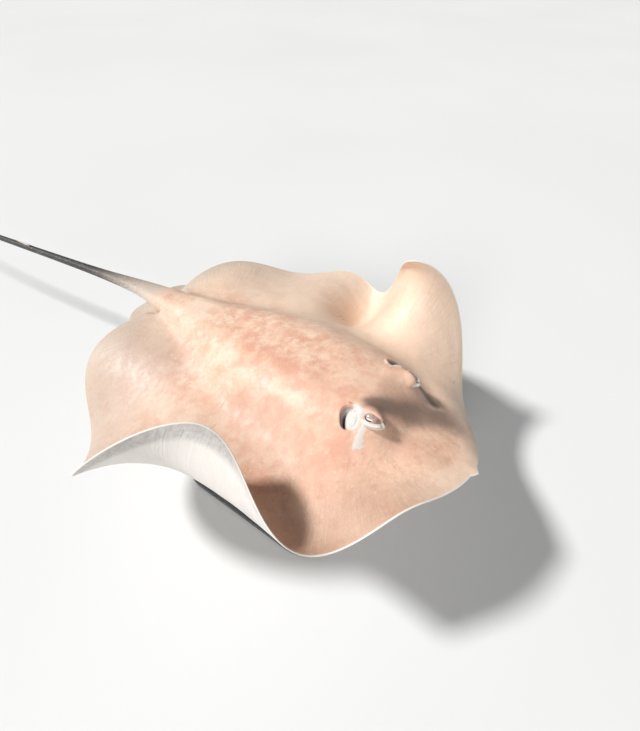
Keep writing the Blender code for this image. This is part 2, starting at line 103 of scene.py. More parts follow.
def margin(t):
    # disc edge as (out, back): snout to widest point, then widest point to the tail
    slope, lobe = math.radians(disc["snoutSlope"]), math.radians(disc["lobeSlope"])
    snout = np.array([disc["nubHalfWidth"], disc["nubBack"]])
    widest = np.array([disc["halfSpan"], disc["widestBack"]])
    rear = np.array([disc["rearHalfWidth"], disc["length"]])
    snoutHandle = snout + disc["snoutPull"] * np.array([math.sin(slope), math.cos(slope)])
    lobeHandle = rear + disc["lobePull"] * np.array([math.cos(lobe), math.sin(lobe)])
    t = np.asarray(t, float)
    front = bezier(snout, snoutHandle, widest - [0, disc["frontPull"]], widest, np.clip(2 * t, 0, 1))
    rearHalf = bezier(widest, widest + [0, disc["rearPull"]], lobeHandle, rear, np.clip(2 * t - 1, 0, 1))
    return np.where((t < 0.5)[..., None], front, rearHalf)


def sideLine(t):
    # where fin meets body: a straight line plus a bulge, the sine of pi t^skew to a power
    t = np.asarray(t, float)
    straight = disc["nubHalfWidth"] + (disc["tailHalfWidth"] - disc["nubHalfWidth"]) * t
    wave = np.abs(np.sin(np.pi * np.clip(t, 0, 1) ** disc["sideSkew"]))
    bulge = disc["sideBulge"] * wave ** disc["sidePower"]
    back = disc["sideStart"] + (disc["sideEnd"] - disc["sideStart"]) * t
    return np.stack([straight + bulge, back], axis=-1)


def waves(rows, t):
    # sum of bells of angle, faded out at the snout
    total = sum(angle * np.exp(-0.5 * ((t - middle) / width) ** 2) for middle, width, angle in rows)
    return np.radians(total) * smooth(t / swim["stillFront"])


def fall(x, rule):
    # 1 before the start, less the share after the length
    start, length, share = rule
    return 1 - share * rise(x, start, length)


def bodyHeights(out, back, v, ray):
    # heights of back and belly over the middle plane: v is 0 at the body, 1 at the edge
    # back = fin profile + flat-topped ridge exp(-(out/width)^4) with a steep forehead + orbit
    front, shoulders, shouldersBack = disc["humpWidths"]
    width = (front + (shoulders - front) * smooth(back / shouldersBack)) * fall(back, disc["humpNarrows"])
    snoutLength, snoutShare = disc["snoutRise"]
    climb = snoutShare * smooth(back / snoutLength) + (1 - snoutShare) * rise(back, *disc["forehead"])
    hump = disc["hump"] * climb * fall(back, disc["humpSinks"]) * np.exp(-((out / width) ** 4))
    orbit = np.hypot((np.abs(out) - disc["orbitOut"]) / disc["orbitAcross"],
                     (back - disc["orbitBack"]) / disc["orbitAlong"])
    hump = hump + disc["orbitHeight"] * np.exp(-(orbit**2))
    belly = disc["belly"] * smooth(back / disc["bellyRise"]) ** disc["bellyPower"]
    belly = belly * fall(back, disc["bellySinks"]) * np.exp(-((out / (disc["bellyWider"] * width)) ** 4))
    fin = np.sqrt(np.clip(ray / disc["finFull"], 0, 1)) * (1 - v**2)
    fade = 1 - v**4
    top = disc["edge"] + disc["finTop"] * fin + hump * fade
    return top, disc["edge"] + disc["finUnder"] * fin + belly * fade


def frontRoll(back):
    # the front half rolls, more and more towards the snout
    return math.radians(swim["roll"]) * smooth((swim["rollEnd"] - back) / swim["rollLength"])


def poseBody(points, back):
    # arch of the body, a parabola round its middle; roll of its front; then up onto the stand
    x, y, z = np.moveaxis(points, -1, 0)
    back = np.maximum(back, disc["sideStart"])  # the snout keeps the height of the fins' first rays
    z = z + swim["arch"] * (1 - (back / swim["archMiddle"] - 1) ** 2)
    roll = frontRoll(back)
    return np.stack([x * np.cos(roll) - z * np.sin(roll), y - swim["standBack"],
                     x * np.sin(roll) + z * np.cos(roll) + swim["height"]], axis=-1)


def finMiddle(t, v, root, curl, steps=24):
    # each ray keeps its length: the way along it is the mean of (cos, sin) of its angle so far
    start, edge = sideLine(t), margin(t)
    length = np.linalg.norm(edge - start, axis=-1)
    heading = (edge - start) / length[..., None]
    reach = v * length
    along = reach[..., None] * (np.arange(steps) + 0.5) / steps
    rolled = np.maximum(along - swim["curlStart"], 0) / (swim["curlLength"] - swim["curlStart"])
    angle = waves(root, t)[..., None] * smooth(along / swim["rootBend"])
    angle = angle + waves(curl, t)[..., None] * rolled ** swim["curlPower"]
    place = start + heading * (np.cos(angle).mean(-1) * reach)[..., None]
    return np.stack([place[..., 0], place[..., 1], np.sin(angle).mean(-1) * reach], axis=-1)


def finPoints(t, v, height, root, curl, side):
    # middle surface plus height along its normal, which is the cross product of the two nearby steps
    step = 1e-4
    middle = finMiddle(t, v, root, curl)
    along = finMiddle(t, v + step, root, curl) - middle
    before, after = (finMiddle(np.clip(t + way, 0, 1), v, root, curl) for way in (-step, step))
    normal = np.cross(along, after - before)
    normal /= np.linalg.norm(normal, axis=-1)[..., None]
    points = middle + normal * height[..., None]
    points[..., 0] *= side
    return poseBody(points, sideLine(t)[..., 1])


tail = {
    "length": 1.95, "up": 0.012, "swing": 6, "swingFades": (0.9, 1.3, 0.9),
    "droop": 4, "droopFades": (0.8, 1.2, 1.2), "bendOver": 0.25,
    "halfWidth": 0.0135, "tip": 0.0018, "taper": 0.8, "flatness": 0.92,
    "rootHeight": 0.012, "rootLength": 0.19, "rootPower": 1.3, "rootFade": 0.08,
    "squareness": 0.35, "squareLength": 0.10, "wrap": 0.97,
    "noEdge": 0.2,  # stands for the way to the disc's edge, which the tail hasn't got
}


def tailPath(q):
    # centre line: mean direction so far times the way q behind the root
    along = np.asarray(q)[..., None] * np.linspace(0, 1, 40)
    bend = smooth(along / tail["bendOver"])
    swing = np.radians(tail["swing"]) * bend * fall(along, tail["swingFades"])
    droop = np.radians(tail["droop"]) * bend * fall(along, tail["droopFades"])
    x = -(np.sin(swing) * np.cos(droop)).mean(-1) * q
    y = (np.cos(swing) * np.cos(droop)).mean(-1) * q
    root = np.array([0, disc["sideEnd"] - swim["standBack"], tail["up"] + swim["height"]])
    return root + np.stack([x, y, -np.sin(droop).mean(-1) * q], axis=-1)


def tailSize(q):
    # half width and half height: a broad flat root that soon becomes a whip
    root = np.exp(-((q / tail["rootLength"]) ** tail["rootPower"]))
    whip = tail["halfWidth"] * (1 - np.minimum(q / tail["length"], 1)) ** tail["taper"] + tail["tip"]
    wide = whip + (disc["tailHalfWidth"] - tail["halfWidth"] - tail["tip"]) * root
    return wide, tail["flatness"] * whip + tail["rootHeight"] * root


def tailFrame(q):
    # unit vectors across (left) and up, for every q
    ahead = tailPath(q + 1e-3) - tailPath(q)
    ahead /= np.linalg.norm(ahead, axis=-1)[..., None]
    across = np.array([1.0, 0, 0]) - ahead * ahead[..., :1]
    across /= np.linalg.norm(across, axis=-1)[..., None]
    return across, np.cross(across, ahead)


eye = {
    "out": 0.090, "back": 0.2485, "up": 0.096, "radius": 0.0178, "stretch": 1.337,
    "gazeUp": 46, "gazeAhead": 8, "lidTurn": 9,
    "castDepth": 0.011, "castLean": (0.55, -0.15, 0.82),
    "openAlong": 1.03, "openAcross": 0.62, "openUp": 0.07,
    "lid": 0.0011, "sunk": 0.0030, "fold": 0.0060, "foldAhead": 0.0048,
    "crease": 0.0012, "blend": 0.0100, "reach": 0.042, "patch": 0.06, "nearShare": 0.6, "touch": 0.0015,
    # in radii of the eye: ramps as (start, length), bells as (width, middle)
    "lidEdge": (0.93, 0.14), "foldRing": (0.50, 1.55), "foldUnder": (0.22, 0.35), "aheadAlong": (0.35, 0.95),
    "aheadUp": (0.45, -0.30), "blendUp": (-0.05, 0.6), "whiteUnder": (0.30, 0.25),
}
spiracle = {
    # centres as (out, back), sizes as half (length, width)
    "centre": (0.1145, 0.2915), "size": (0.0245, 0.0205), "turn": -34,
    "depth": 0.026, "rim": 0.0026, "step": 0.38,
    "valveCentre": (0.1120, 0.2825), "valveSize": (0.0235, 0.0165), "valveHeight": 0.019, "valveProud": 0.001,
    "ridgeCentre": (0.099, 0.2715), "ridgeSize": 0.0090, "ridgeHeight": 0.0050,
    "streakFrom": (0.110, 0.254), "streakTo": (0.141, 0.247), "streakHalf": 0.0110, "streakHeight": 0.0016,
    "streakWidens": (0.65, 0.75), "rimInner": 0.7, "valveSkirt": 0.05, "valveCrease": 0.0010,
    # in half widths of each shape: ramps as (start, length), bells as (width, middle)
    "wall": (0.88, 0.14), "floor": (0.40, 0.45), "lipAhead": (0.25, 0.4), "lip": (0.24, 1.05),
    "rimBehind": (-0.45, 0.6), "rimRing": (0.15, 1.17), "valveEdge": (0.82, 0.22), "outside": 1.7,
    "ridgeEdge": (0.75, 0.6), "streakEdge": (0.2, 1.1), "streakBulge": 0.9,
}
under = {
    "mouthBack": 0.178, "mouthHalfWidth": 0.046, "mouthBow": 0.006, "mouthDepth": 0.006,
    "mouthCrease": 0.0026, "mouthDark": 0.0030, "mouthEnds": 0.010, "lipHeight": 0.0035, "lipWidth": 0.016,
    "nostrilOut": 0.040, "nostrilBack": 0.150, "nostrilSize": (0.010, 0.006), "nostrilDepth": 0.006,
    "nostrilSkew": 0.25, "nostrilWall": (0.6, 0.5), "nostrilRim": 0.0012, "nostrilRing": (0.25, 1.3),
    "curtain": 0.0022, "curtainHalf": 0.018, "curtainEdge": 0.006, "curtainIn": 0.004, "curtainAhead": 0.001,
    "gills": 5, "gillBack": 0.265, "gillStep": 0.027, "gillOut": 0.108, "gillIn": 0.006, "gillHalf": 0.013,
    "gillShorter": 0.0012, "gillEnds": 0.25, "gillBend": 0.004, "gillDepth": 0.0035, "gillCrease": 0.0021,
    "gillFlap": 0.0016, "gillFlapBehind": 0.0055, "gillFlapWidth": 0.0050,
    "ventBack": 0.982, "ventSize": (0.004, 0.014), "ventDepth": 0.004,
}


def gazeAxes(side):
    # unit vectors along the lids towards the snout, up across them, and straight out of the eye
    lift, ahead = math.radians(eye["gazeUp"]), math.radians(eye["gazeAhead"])
    level = math.cos(lift)
    gaze = np.array([side * level * math.cos(ahead), -level * math.sin(ahead), math.sin(lift)])
    along = -side * np.cross([0, 0, 1.0], gaze)
    along /= np.linalg.norm(along)
    up = np.array([0, 0, 1.0]) - gaze * gaze[2]
    return along, up / np.linalg.norm(up), gaze


def eyeRelief(place):
    # skin is cast from a spot inside the eyeball: its way is the larger of the skin's own and the lids',
    # and the lids' way is the root of the ball's equation for the radius plus the lid's thickness
    e = eye
    centre = np.array([e["out"], e["back"], e["up"]])
    inside = -e["castDepth"] * np.array(e["castLean"]) / np.linalg.norm(e["castLean"])
    scale = np.ones((len(place), 3)) * [1, 1 / e["stretch"], 1]
    scale[:, 0] = np.where(place[:, 0] < 0, -1.0, 1.0)
    centre = centre * [1, 1 / e["stretch"], 1]
    away = place * scale - centre - inside
    far = np.linalg.norm(away, axis=-1)
    heading = away / far[:, None]
    inward = heading @ inside

    def ballWay(radius):
        return -inward + np.sqrt(inward**2 - inside @ inside + radius**2)

    spot = (inside + ballWay(e["radius"])[:, None] * heading) / e["radius"]
    along, up, gaze = gazeAxes(1)
    u, w, g = spot @ along, spot @ up, spot @ gaze
    tilt = math.radians(e["lidTurn"])
    u, w = u * math.cos(tilt) - w * math.sin(tilt), w * math.cos(tilt) + u * math.sin(tilt)
    ring = np.hypot(u / e["openAlong"], (w - e["openUp"]) / e["openAcross"]) + 2 * np.maximum(-g, 0)
    cover = rise(ring, *e["lidEdge"])
    fold = e["fold"] * bell(ring, *e["foldRing"]) * below(w, *e["foldUnder"])
    fold = fold + e["foldAhead"] * bell(u, *e["aheadAlong"]) * bell(w, *e["aheadUp"])
    lids = ballWay(e["radius"] + (e["sunk"] + e["lid"] + fold) * cover - e["sunk"])
    soft = e["crease"] + e["blend"] * rise(w, *e["blendUp"])
    full = e["nearShare"] * e["reach"]
    near = 1 - rise(far, full, e["reach"] - full)
    reach = far + (larger(far, lids, soft) - far) * near
    isLid = smooth((lids - far) / e["touch"]) * near
    place = (centre + inside + heading * reach[:, None]) / scale
    return place, isLid * below(w, *e["whiteUnder"])


def ovalWay(out, back, centre, turn, size, power):
    # places turned about a centre on either side, and their way from it: 1 on an oval |p|^n + |q|^n = 1
    dx, dy = np.abs(out) - centre[0], back - centre[1]
    p = (dx * math.cos(turn) + dy * math.sin(turn)) / size[0]
    q = (dy * math.cos(turn) - dx * math.sin(turn)) / size[1]
    return p, q, (np.abs(p) ** power + np.abs(q) ** power) ** (1 / power)


def spiracleRelief(out, back, top):
    # an oval pocket with a raised rim and a fold inside, and the swollen valve that fills its front part;
    # the valve is an upturned bowl: height times the square root of (1 - way squared)
    s = spiracle
    turn = math.radians(s["turn"])
    p, q, away = ovalWay(out, back, s["centre"], turn, s["size"], 2.4)
    pocket = s["step"] * (1 - rise(away, *s["wall"])) + (1 - s["step"]) * (1 - rise(away, *s["floor"]))
    front = rise(-q, *s["lipAhead"]) * bell(away, *s["lip"])
    rim = s["rim"] * bell(away, *s["rimRing"]) * rise(q, *s["rimBehind"]) * (1 + s["rimInner"] * smooth(-p))
    shaped = top + rim - s["depth"] * pocket
    way = ovalWay(out, back, s["valveCentre"], turn, s["valveSize"], 2.3)[2]
    bowl = np.sqrt(np.clip(1 - way**2, 0, 1))
    dome = top + s["valveProud"] - s["valveHeight"] * (1 - bowl) - s["valveSkirt"] * np.maximum(way - 1, 0)
    shaped = np.where(away < s["outside"], larger(shaped, dome, s["valveCrease"]), top)
    ridge = np.hypot(np.abs(out) - s["ridgeCentre"][0], back - s["ridgeCentre"][1]) / s["ridgeSize"]
    shaped = shaped + s["ridgeHeight"] * bell(ridge, 1.0)
    first, last = np.array(s["streakFrom"]), np.array(s["streakTo"])
    line = last - first
    place = np.stack([np.abs(out), back], axis=-1) - first
    share = np.clip(place @ line / (line @ line), 0, 1)
    streak = np.linalg.norm(place - share[..., None] * line, axis=-1)
    narrow, widens = s["streakWidens"]
    streak = streak / (s["streakHalf"] * (narrow + widens * share))
    shaped = shaped + s["streakHeight"] * bell(streak, s["streakBulge"])
    valve = 1 - rise(way, *s["valveEdge"])
    # the streak fades into the skin unevenly, by noise in the material
    white = np.maximum(np.maximum(valve, front), 1 - rise(ridge, *s["ridgeEdge"]))
    return shaped, pocket * (1 - valve), white, 1 - rise(streak, *s["streakEdge"])


def underRelief(out, back, low):
    # mouth groove, nasal curtain, nostrils and five pairs of gill slits; low is the depth of the belly
    u = under
    side = np.abs(out)
    bow = u["mouthBack"] - u["mouthBow"] * (out / u["mouthHalfWidth"]) ** 2
    inMouth = below(side, u["mouthHalfWidth"], u["mouthEnds"])
    low = low + u["lipHeight"] * bell(back - bow, u["lipWidth"]) * inMouth
    low = low - u["mouthDepth"] * bell(back - bow, u["mouthCrease"]) * inMouth
    curtainBack = 0.5 * (u["nostrilBack"] + bow) - u["curtainAhead"]
    curtain = below(side, u["nostrilOut"] - u["curtainIn"], u["curtainEdge"])
    curtain = curtain * below(np.abs(back - curtainBack), u["curtainHalf"], u["curtainEdge"])
    low = low + u["curtain"] * curtain
    outward, behind = side - u["nostrilOut"], back - u["nostrilBack"]
    halfOut, halfBack = u["nostrilSize"]
    nostril = np.hypot(outward / halfOut, (behind + u["nostrilSkew"] * outward) / halfBack)
    low = low - u["nostrilDepth"] * (1 - rise(nostril, *u["nostrilWall"]))
    low = low + u["nostrilRim"] * bell(nostril, *u["nostrilRing"])
    slits = np.zeros_like(low)
    for k in range(u["gills"]):
        half = u["gillHalf"] - u["gillShorter"] * k
        along = (side - (u["gillOut"] - u["gillIn"] * k)) / half
        bent = back - (u["gillBack"] + u["gillStep"] * k) - u["gillBend"] * along**2
        inSlit = below(np.abs(along), 1, u["gillEnds"])
        slits = slits + bell(bent, u["gillCrease"]) * inSlit
        low = low + u["gillFlap"] * bell(bent + u["gillFlapBehind"], u["gillFlapWidth"]) * inSlit
    vent = bell(out, u["ventSize"][0]) * bell(back - u["ventBack"], u["ventSize"][1])
    low = low - u["gillDepth"] * slits - u["ventDepth"] * vent
    return low, slits + bell(back - bow, u["mouthDark"]) * inMouth


# Wide shallow unevenness of real skin: a few crossed sine waves, in metres
unevenness = (
    (31, 17, 0.3, 0.00045), (-22, 37, 1.9, 0.00040), (58, -41, 4.1, 0.00026), (47, 66, 2.6, 0.00022),
    (-96, 52, 5.3, 0.00014), (83, 118, 0.9, 0.00010),
)


def unevenSkin(out, back):
    return sum(size * np.sin(kx * out + ky * back + start + 1.3 * np.sin(0.4 * ky * out - 0.5 * kx * back))
               for kx, ky, start, size in unevenness)


# The skin is one grid: a runs along the body, b across it, s is 1 on the back and -1 on the belly.
# a: -2..-1 snout lip, -1..0 in front of the fins, 0..1 disc, 1.. tail; b: 0..1 body, 1..2 fin, 2..3 lip
grid = {
    "rows": 168, "bodyColumns": 48, "topFinColumns": 60, "underFinColumns": 32, "lipSteps": 3,
    "fineRows": (0.20, 0.10, 1.5), "edgeCrowding": 1.25,
    "eyePatch": (0.064, 0.150, 0.208, 0.330), "eyeCuts": 3,
    "mouthPatch": (-0.130, 0.130, 0.130, 0.395), "mouthCuts": 1,
}


def spaced(count, fine):
    # places from 0 to 1 whose spacing shrinks in a bell round the middle
    middle, width, gain = fine
    x = np.linspace(0, 1, 2001)
    total = np.concatenate([[0], np.cumsum(1 + gain * bell(x[1:] - middle, width))])
    return np.interp(np.linspace(0, total[-1], count), total, x)


def finSteps(count):
    # places over a fin, closer together towards its edge, then the turns round the lip
    inner = 1 - (1 - np.linspace(0, 1, count)) ** grid["edgeCrowding"]
    return np.concatenate([inner, 1 + np.arange(1, grid["lipSteps"] + 1) / grid["lipSteps"]])


def quads(block):
    # faces of a block of vertex numbers
    return np.stack([block[:-1, :-1], block[:-1, 1:], block[1:, 1:], block[1:, :-1]], axis=-1).reshape(-1, 4)


def closedGrid(rings, sides):
    # vertex numbers of a tube, whose first column comes again at the end
    block = np.arange(rings * sides).reshape(rings, sides)
    return np.concatenate([block, block[:, :1]], axis=1)


def fullTurn(count):
    return np.arange(count) * 2 * np.pi / count


def tailStations():
    # rings closer together at the root and under the sting
    ends = ((0, 0.12, 16), (0.12, 0.66, 22), (0.66, 0.84, 11), (0.84, tail["length"], 33))
    return np.concatenate([np.linspace(first, last, count + 1)[1:] for first, last, count in ends])


def skinTopology():
    # vertices as (a, b, s) and faces; both sheets share the lip, and the tail is a tube of the body's columns
    rows = spaced(grid["rows"], grid["fineRows"])
    columns = np.linspace(-1, 1, grid["bodyColumns"] + 1)
    qs = tailStations()
    store, faces, loose, total = [], [], [], 0

    def add(a, b, s):
        nonlocal total
        a, b, s = np.broadcast_arrays(a, b, s)
        store.append(np.stack([a.ravel(), b.ravel(), s.ravel()], axis=-1))
        numbers = np.arange(total, total + a.size).reshape(a.shape)
        total += a.size
        return numbers

    lipLeft, lipRight = add(rows, 3.0, 0.0), add(rows, -3.0, 0.0)
    lipFront = add(-2.0, columns[1:-1], 0.0)
    tubes = []
    for s, count in ((1.0, grid["topFinColumns"]), (-1.0, grid["underFinColumns"])):
        steps = finSteps(count)[:-1]
        b = np.concatenate([-1 - steps[:0:-1], columns, 1 + steps[1:]])
        sheet = add(rows[:, None], b[None, :], s)
        sheet = np.concatenate([lipRight[:, None], sheet, lipLeft[:, None]], axis=1)
        side = len(steps)
        core = sheet[:, side:-side]
        nub = add(-steps[1:, None], columns[None, 1:-1], s)
        right, left = sheet[0, :side + 1][::-1], sheet[0, -side - 1:]
        nub = np.concatenate([core[:1, 1:-1], nub, lipFront[None]], axis=0)
        nub = np.concatenate([right[:, None], nub, left[:, None]], axis=1)
        tube = np.concatenate([core[-1:], add(1 + qs[:, None], columns[None, :], s)], axis=0)
        tubes.append(tube)
        loose.append((sheet[-1, :side + 1], sheet[-1, -side - 1:]))
        for block in (sheet, nub[::-1], tube):
            faces.append(quads(block) if s > 0 else quads(block)[:, ::-1])
    top, low = tubes
    for k, flip in ((0, 1), (-1, -1)):
        strip = np.stack([top[:, k], low[:, k]], axis=1)
        faces.append(quads(strip)[:, ::-flip])
    caps = [np.concatenate([top[-1], low[-1][::-1]])]
    for up, down in zip(loose[0], loose[1]):
        ring = list(dict.fromkeys(np.concatenate([up, down[::-1]]).tolist()))
        caps.append(np.array(ring))
    faces = [tuple(face) for block in faces for face in block.tolist()]
    return np.concatenate(store), faces + [tuple(cap.tolist()) for cap in caps]


def refine(mesh, patch, cuts, upper):
    # cut the faces of one sheet whose middle lies in the patch, which is given as out and back on the body
    low, high, front, rear = patch
    work = bmesh.new()
    work.from_mesh(mesh)
    edges = set()
    for face in work.faces:
        middle = face.calc_center_median()
        if not 0 <= middle.x <= 1 or (middle.z > 0) != upper or abs(middle.z) < 0.9:
            continue
        out, back, _ = flatPlace(np.array([middle.x]), np.array([middle.y]))
        out = abs(out[0]) if low >= 0 else out[0]
        if low < out < high and front < back[0] < rear:
            edges.update(face.edges)
    bmesh.ops.subdivide_edges(work, edges=list(edges), cuts=cuts, use_grid_fill=True)
    work.to_mesh(mesh)
    work.free()


def flatPlace(a, b):
    # out and back on the unbent body, then the share of the ray, its length and the way left to the edge
    t = np.clip(a, 0, 1)
    side = np.sign(b)
    share = np.clip(np.abs(b) - 1, 0, 1)
    start, edge = sideLine(t), margin(t)
    ray = np.linalg.norm(edge - start, axis=-1)
    lip = disc["lip"] / ray
    v = share * (1 - lip) + lip * np.sin(np.clip(np.abs(b) - 2, 0, 1) * np.pi / 2)
    out = np.where(np.abs(b) <= 1, b * start[..., 0], side * (start[..., 0] + (edge - start)[..., 0] * v))
    back = start[..., 1] + (edge - start)[..., 1] * v
    front = disc["nubBack"] - disc["nubLength"] * (1 - np.abs(np.clip(b, -1, 1)) ** disc["nubPower"])
    nubRay = disc["sideStart"] - front
    nubLip = disc["lip"] / nubRay
    nubV = np.clip(-a, 0, 1) * (1 - nubLip) + nubLip * np.sin(np.clip(-a - 1, 0, 1) * np.pi / 2)
    nub = a < 0
    out = np.where(nub, b * disc["nubHalfWidth"], out)
    back = np.where(nub, disc["sideStart"] - nubRay * nubV, back)
    rayUsed = np.where(nub, ray + (nubRay - ray) * nubV, ray)
    v = np.where(nub, nubV, v)
    left = np.where(np.abs(b) <= 1, ray + (1 - np.abs(b)) * start[..., 0], ray * (1 - v))
    left = np.where(nub, nubRay * (1 - nubV), left)
    return out, back, np.stack([v, rayUsed, left], axis=-1)


def skinPlace(a, b, s):
    # where every grid vertex lies in the room, with its unbent place and its masks
    turn = np.where(a < 0, np.clip(-a - 1, 0, 1), np.clip(np.abs(b) - 2, 0, 1)) * np.pi / 2
    out, back, more = flatPlace(a, b)
    v, ray, left = np.moveaxis(more, -1, 0)
    top, low = bodyHeights(out, back, np.minimum(v, 1), ray)
    uneven = unevenSkin(out, back) * smooth(left / disc["unevenFade"])
    top, pocket, white, streak = spiracleRelief(out, back, top + uneven)
    low, slits = underRelief(out, back, low + disc["unevenUnder"] * uneven)
    upper = s > 0
    start, length = disc["rearRound"]
    rearEdge = 1 - np.sqrt(1 - np.clip((a - start) / length, 0, 0.98) ** 2)
    rearEdge = rearEdge * rise(np.abs(b), 1, disc["rearRoundFade"])
    height = np.where(upper, top, -low) * np.cos(turn) * (1 - rearEdge)
    height = np.where(s == 0, 0, height)
    points = np.zeros((len(a), 3))
    core = (a < 0) | ((a <= 1) & (np.abs(b) <= 1))
    place = np.stack([out, back, height], axis=-1)
    points[core] = poseBody(place[core], back[core])
    for side, root, curl in ((1, "leftRoot", "leftCurl"), (-1, "rightRoot", "rightCurl")):
        fin = ~core & (a <= 1) & (np.sign(b) == side)
        points[fin] = finPoints(a[fin], v[fin], height[fin], swim[root], swim[curl], side)
    lids = np.zeros(len(a))
    eyes = upper & (a > 0) & (a < 1) & (np.hypot(np.abs(out) - eye["out"], back - eye["back"]) < eye["patch"])
    lifted, lids[eyes] = eyeRelief(place[eyes])
    points[eyes] += poseBody(lifted, lifted[:, 1]) - poseBody(place[eyes], back[eyes])
    behind = a > 1
    q = a[behind] - 1
    c = b[behind]
    width, tall = tailSize(q)
    power = 1 - tail["squareness"] * np.exp(-q / tail["squareLength"])
    angle = c * (np.pi / 2) * tail["wrap"]
    blend = smooth(q / tail["rootFade"])
    wide = (1 - blend) * c * width + blend * np.sign(c) * np.abs(np.sin(angle)) ** power * width
    lastRay = np.linalg.norm(margin(1.0) - sideLine(1.0))
    endTop, endLow = bodyHeights(c * disc["tailHalfWidth"], 0 * q + disc["sideEnd"], 0 * q, 0 * q + lastRay)
    rootHeight = np.where(upper[behind], endTop, -endLow) - tail["up"]
    tubeHeight = np.where(upper[behind], 1, -1) * np.cos(angle) ** power * tall
    high = (1 - blend) * rootHeight + blend * tubeHeight
    across, up = tailFrame(q)
    points[behind] = tailPath(q) + wide[:, None] * across + high[:, None] * up
    out[behind], back[behind], left[behind] = wide, disc["sideEnd"] + q, tail["noEdge"]
    height[behind] = high
    front = upper & ~behind
    slits = np.where(~upper & ~behind & (s != 0), slits, 0)
    masks = {"pocket": np.where(front, pocket, 0), "white": np.where(front, np.maximum(white, lids), 0),
             "streak": np.where(front, streak, 0), "slits": slits, "belly": (1 - s) / 2, "rim": left,
             "ray": np.where(a < 0, 0, a), "share": np.clip(np.abs(b) - 1, 0, 1)}
    return points, np.stack([out, back, height], axis=-1), masks


def giveAttributes(mesh, values):
    # one number or one vector for every vertex
    for name, rows in values.items():
        kind, key = ("FLOAT_VECTOR", "vector") if rows.ndim > 1 else ("FLOAT", "value")
        mesh.attributes.new(name, kind, "POINT").data.foreach_set(key, rows.astype(np.float32).ravel())


def faceOutward(mesh):
    work = bmesh.new()
    work.from_mesh(mesh)
    bmesh.ops.recalc_face_normals(work, faces=work.faces)
    work.to_mesh(mesh)
    work.free()
    mesh.shade_smooth()


def newObject(name, mesh, material):
    made = bpy.data.objects.new(name, mesh)
    mesh.materials.append(material)
    bpy.context.scene.collection.objects.link(made)
    return made


pelvic = {
    "middleOut": 0.050, "middleBack": 1.045, "spread": 0.078, "reach": 0.070, "up": -0.019,
    "halfThickness": 0.0045, "rows": 40, "columns": 28, "start": -0.020, "inner": 0.012, "narrowest": 0.004,
    "lastRow": 0.995, "crowding": 0.9, "edgePower": 6, "endPower": 8, "edgeThin": 0.001, "endThin": 0.0004,
}


def pelvicFin(side):
    # a rounded lobe: out runs from inside the tail to an oval edge, thickness falls as 1 - v squared
    p = pelvic
    share = np.sin(np.linspace(0, p["lastRow"], p["rows"]) * np.pi / 2)[:, None]
    first = disc["sideEnd"] + p["start"]
    back = first + (p["middleBack"] + p["reach"] - first) * share
    turn = np.linspace(0, 1, p["columns"])[None, :]
    reach = np.clip((back - p["middleBack"]) / p["reach"], -1, 1)
    outer = p["middleOut"] + p["spread"] * np.sqrt(1 - reach**2)
    inner = p["inner"] + 0 * outer
    v = np.sin(turn * np.pi / 2) ** p["crowding"]
    out = inner + np.maximum(outer - inner, p["narrowest"]) * v
    half = disc["edge"] + (p["halfThickness"] - disc["edge"]) * (1 - v**2)
    half = half * np.sqrt(1 - v ** p["edgePower"] * (1 - p["edgeThin"]))
    half = half * np.sqrt(np.clip(1 - share ** p["endPower"], p["endThin"], 1))
    swing = tailPath(np.maximum(back - disc["sideEnd"], 0))[..., 0]
    flat = np.stack([np.stack(np.broadcast_arrays(side * out, back, s * half), axis=-1) for s in (1, -1)])
    moved = [swing, 0 * swing - swim["standBack"], 0 * swing + swim["height"] + p["up"]]
    points = flat + np.stack(moved, axis=-1)
    rows, columns = flat.shape[1:3]
    size = rows * columns
    upper = np.arange(size).reshape(rows, columns)
    lower = upper + size
    faces = [quads(upper)[:, ::side], quads(lower)[:, ::-side]]
    loop = np.concatenate([upper[0], upper[1:, -1], upper[-1, -2::-1], upper[-2:0:-1, 0]])
    after = np.roll(loop, -1)
    faces.append(np.stack([loop, loop + size, after + size, after], axis=-1)[:, ::side])
    rim = ((1 - v) * (outer - inner)).ravel()
    masks = {"rim": np.concatenate([rim, rim]), "belly": np.repeat([0.0, 1.0], size)}
    return points.reshape(-1, 3), np.concatenate(faces), flat.reshape(-1, 3), masks


def buildSkin(material):
    seeds, faces = skinTopology()
    mesh = bpy.data.meshes.new("skin")
    mesh.from_pydata(seeds.tolist(), [], faces)
    refine(mesh, grid["eyePatch"], grid["eyeCuts"], True)
    refine(mesh, grid["mouthPatch"], grid["mouthCuts"], False)
    seeds = np.zeros(len(mesh.vertices) * 3)
    mesh.vertices.foreach_get("co", seeds)
    a, b, s = seeds.reshape(-1, 3).T
    points, flat, masks = skinPlace(a, b, s)
    faces = [tuple(face.vertices) for face in mesh.polygons]
    for side in (1, -1):
        morePoints, moreFaces, moreFlat, moreMasks = pelvicFin(side)
        faces += [tuple(f) for f in (moreFaces + len(points)).tolist()]
        points, flat = np.concatenate([points, morePoints]), np.concatenate([flat, moreFlat])
        none = np.zeros(len(morePoints))
        masks = {k: np.concatenate([m, moreMasks.get(k, none)]) for k, m in masks.items()}
    mesh.clear_geometry()
    mesh.from_pydata(points.tolist(), [], faces)
    giveAttributes(mesh, {"flat": flat, **masks})
    faceOutward(mesh)
    made = newObject("skin", mesh, material)
    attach(made, "root")
    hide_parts("head", "trunk", "pectoral_fin_left", "pectoral_fin_right",
                "pelvic_fin_left", "pelvic_fin_right", "tail_root", "tail_middle", "tail_whip")
    print("skin:", len(mesh.polygons), "faces")
    return made


def newMaterial(name):
    made = bpy.data.materials.new(name)
    made.use_nodes = True
    return made, made.node_tree, made.node_tree.nodes["Principled BSDF"]


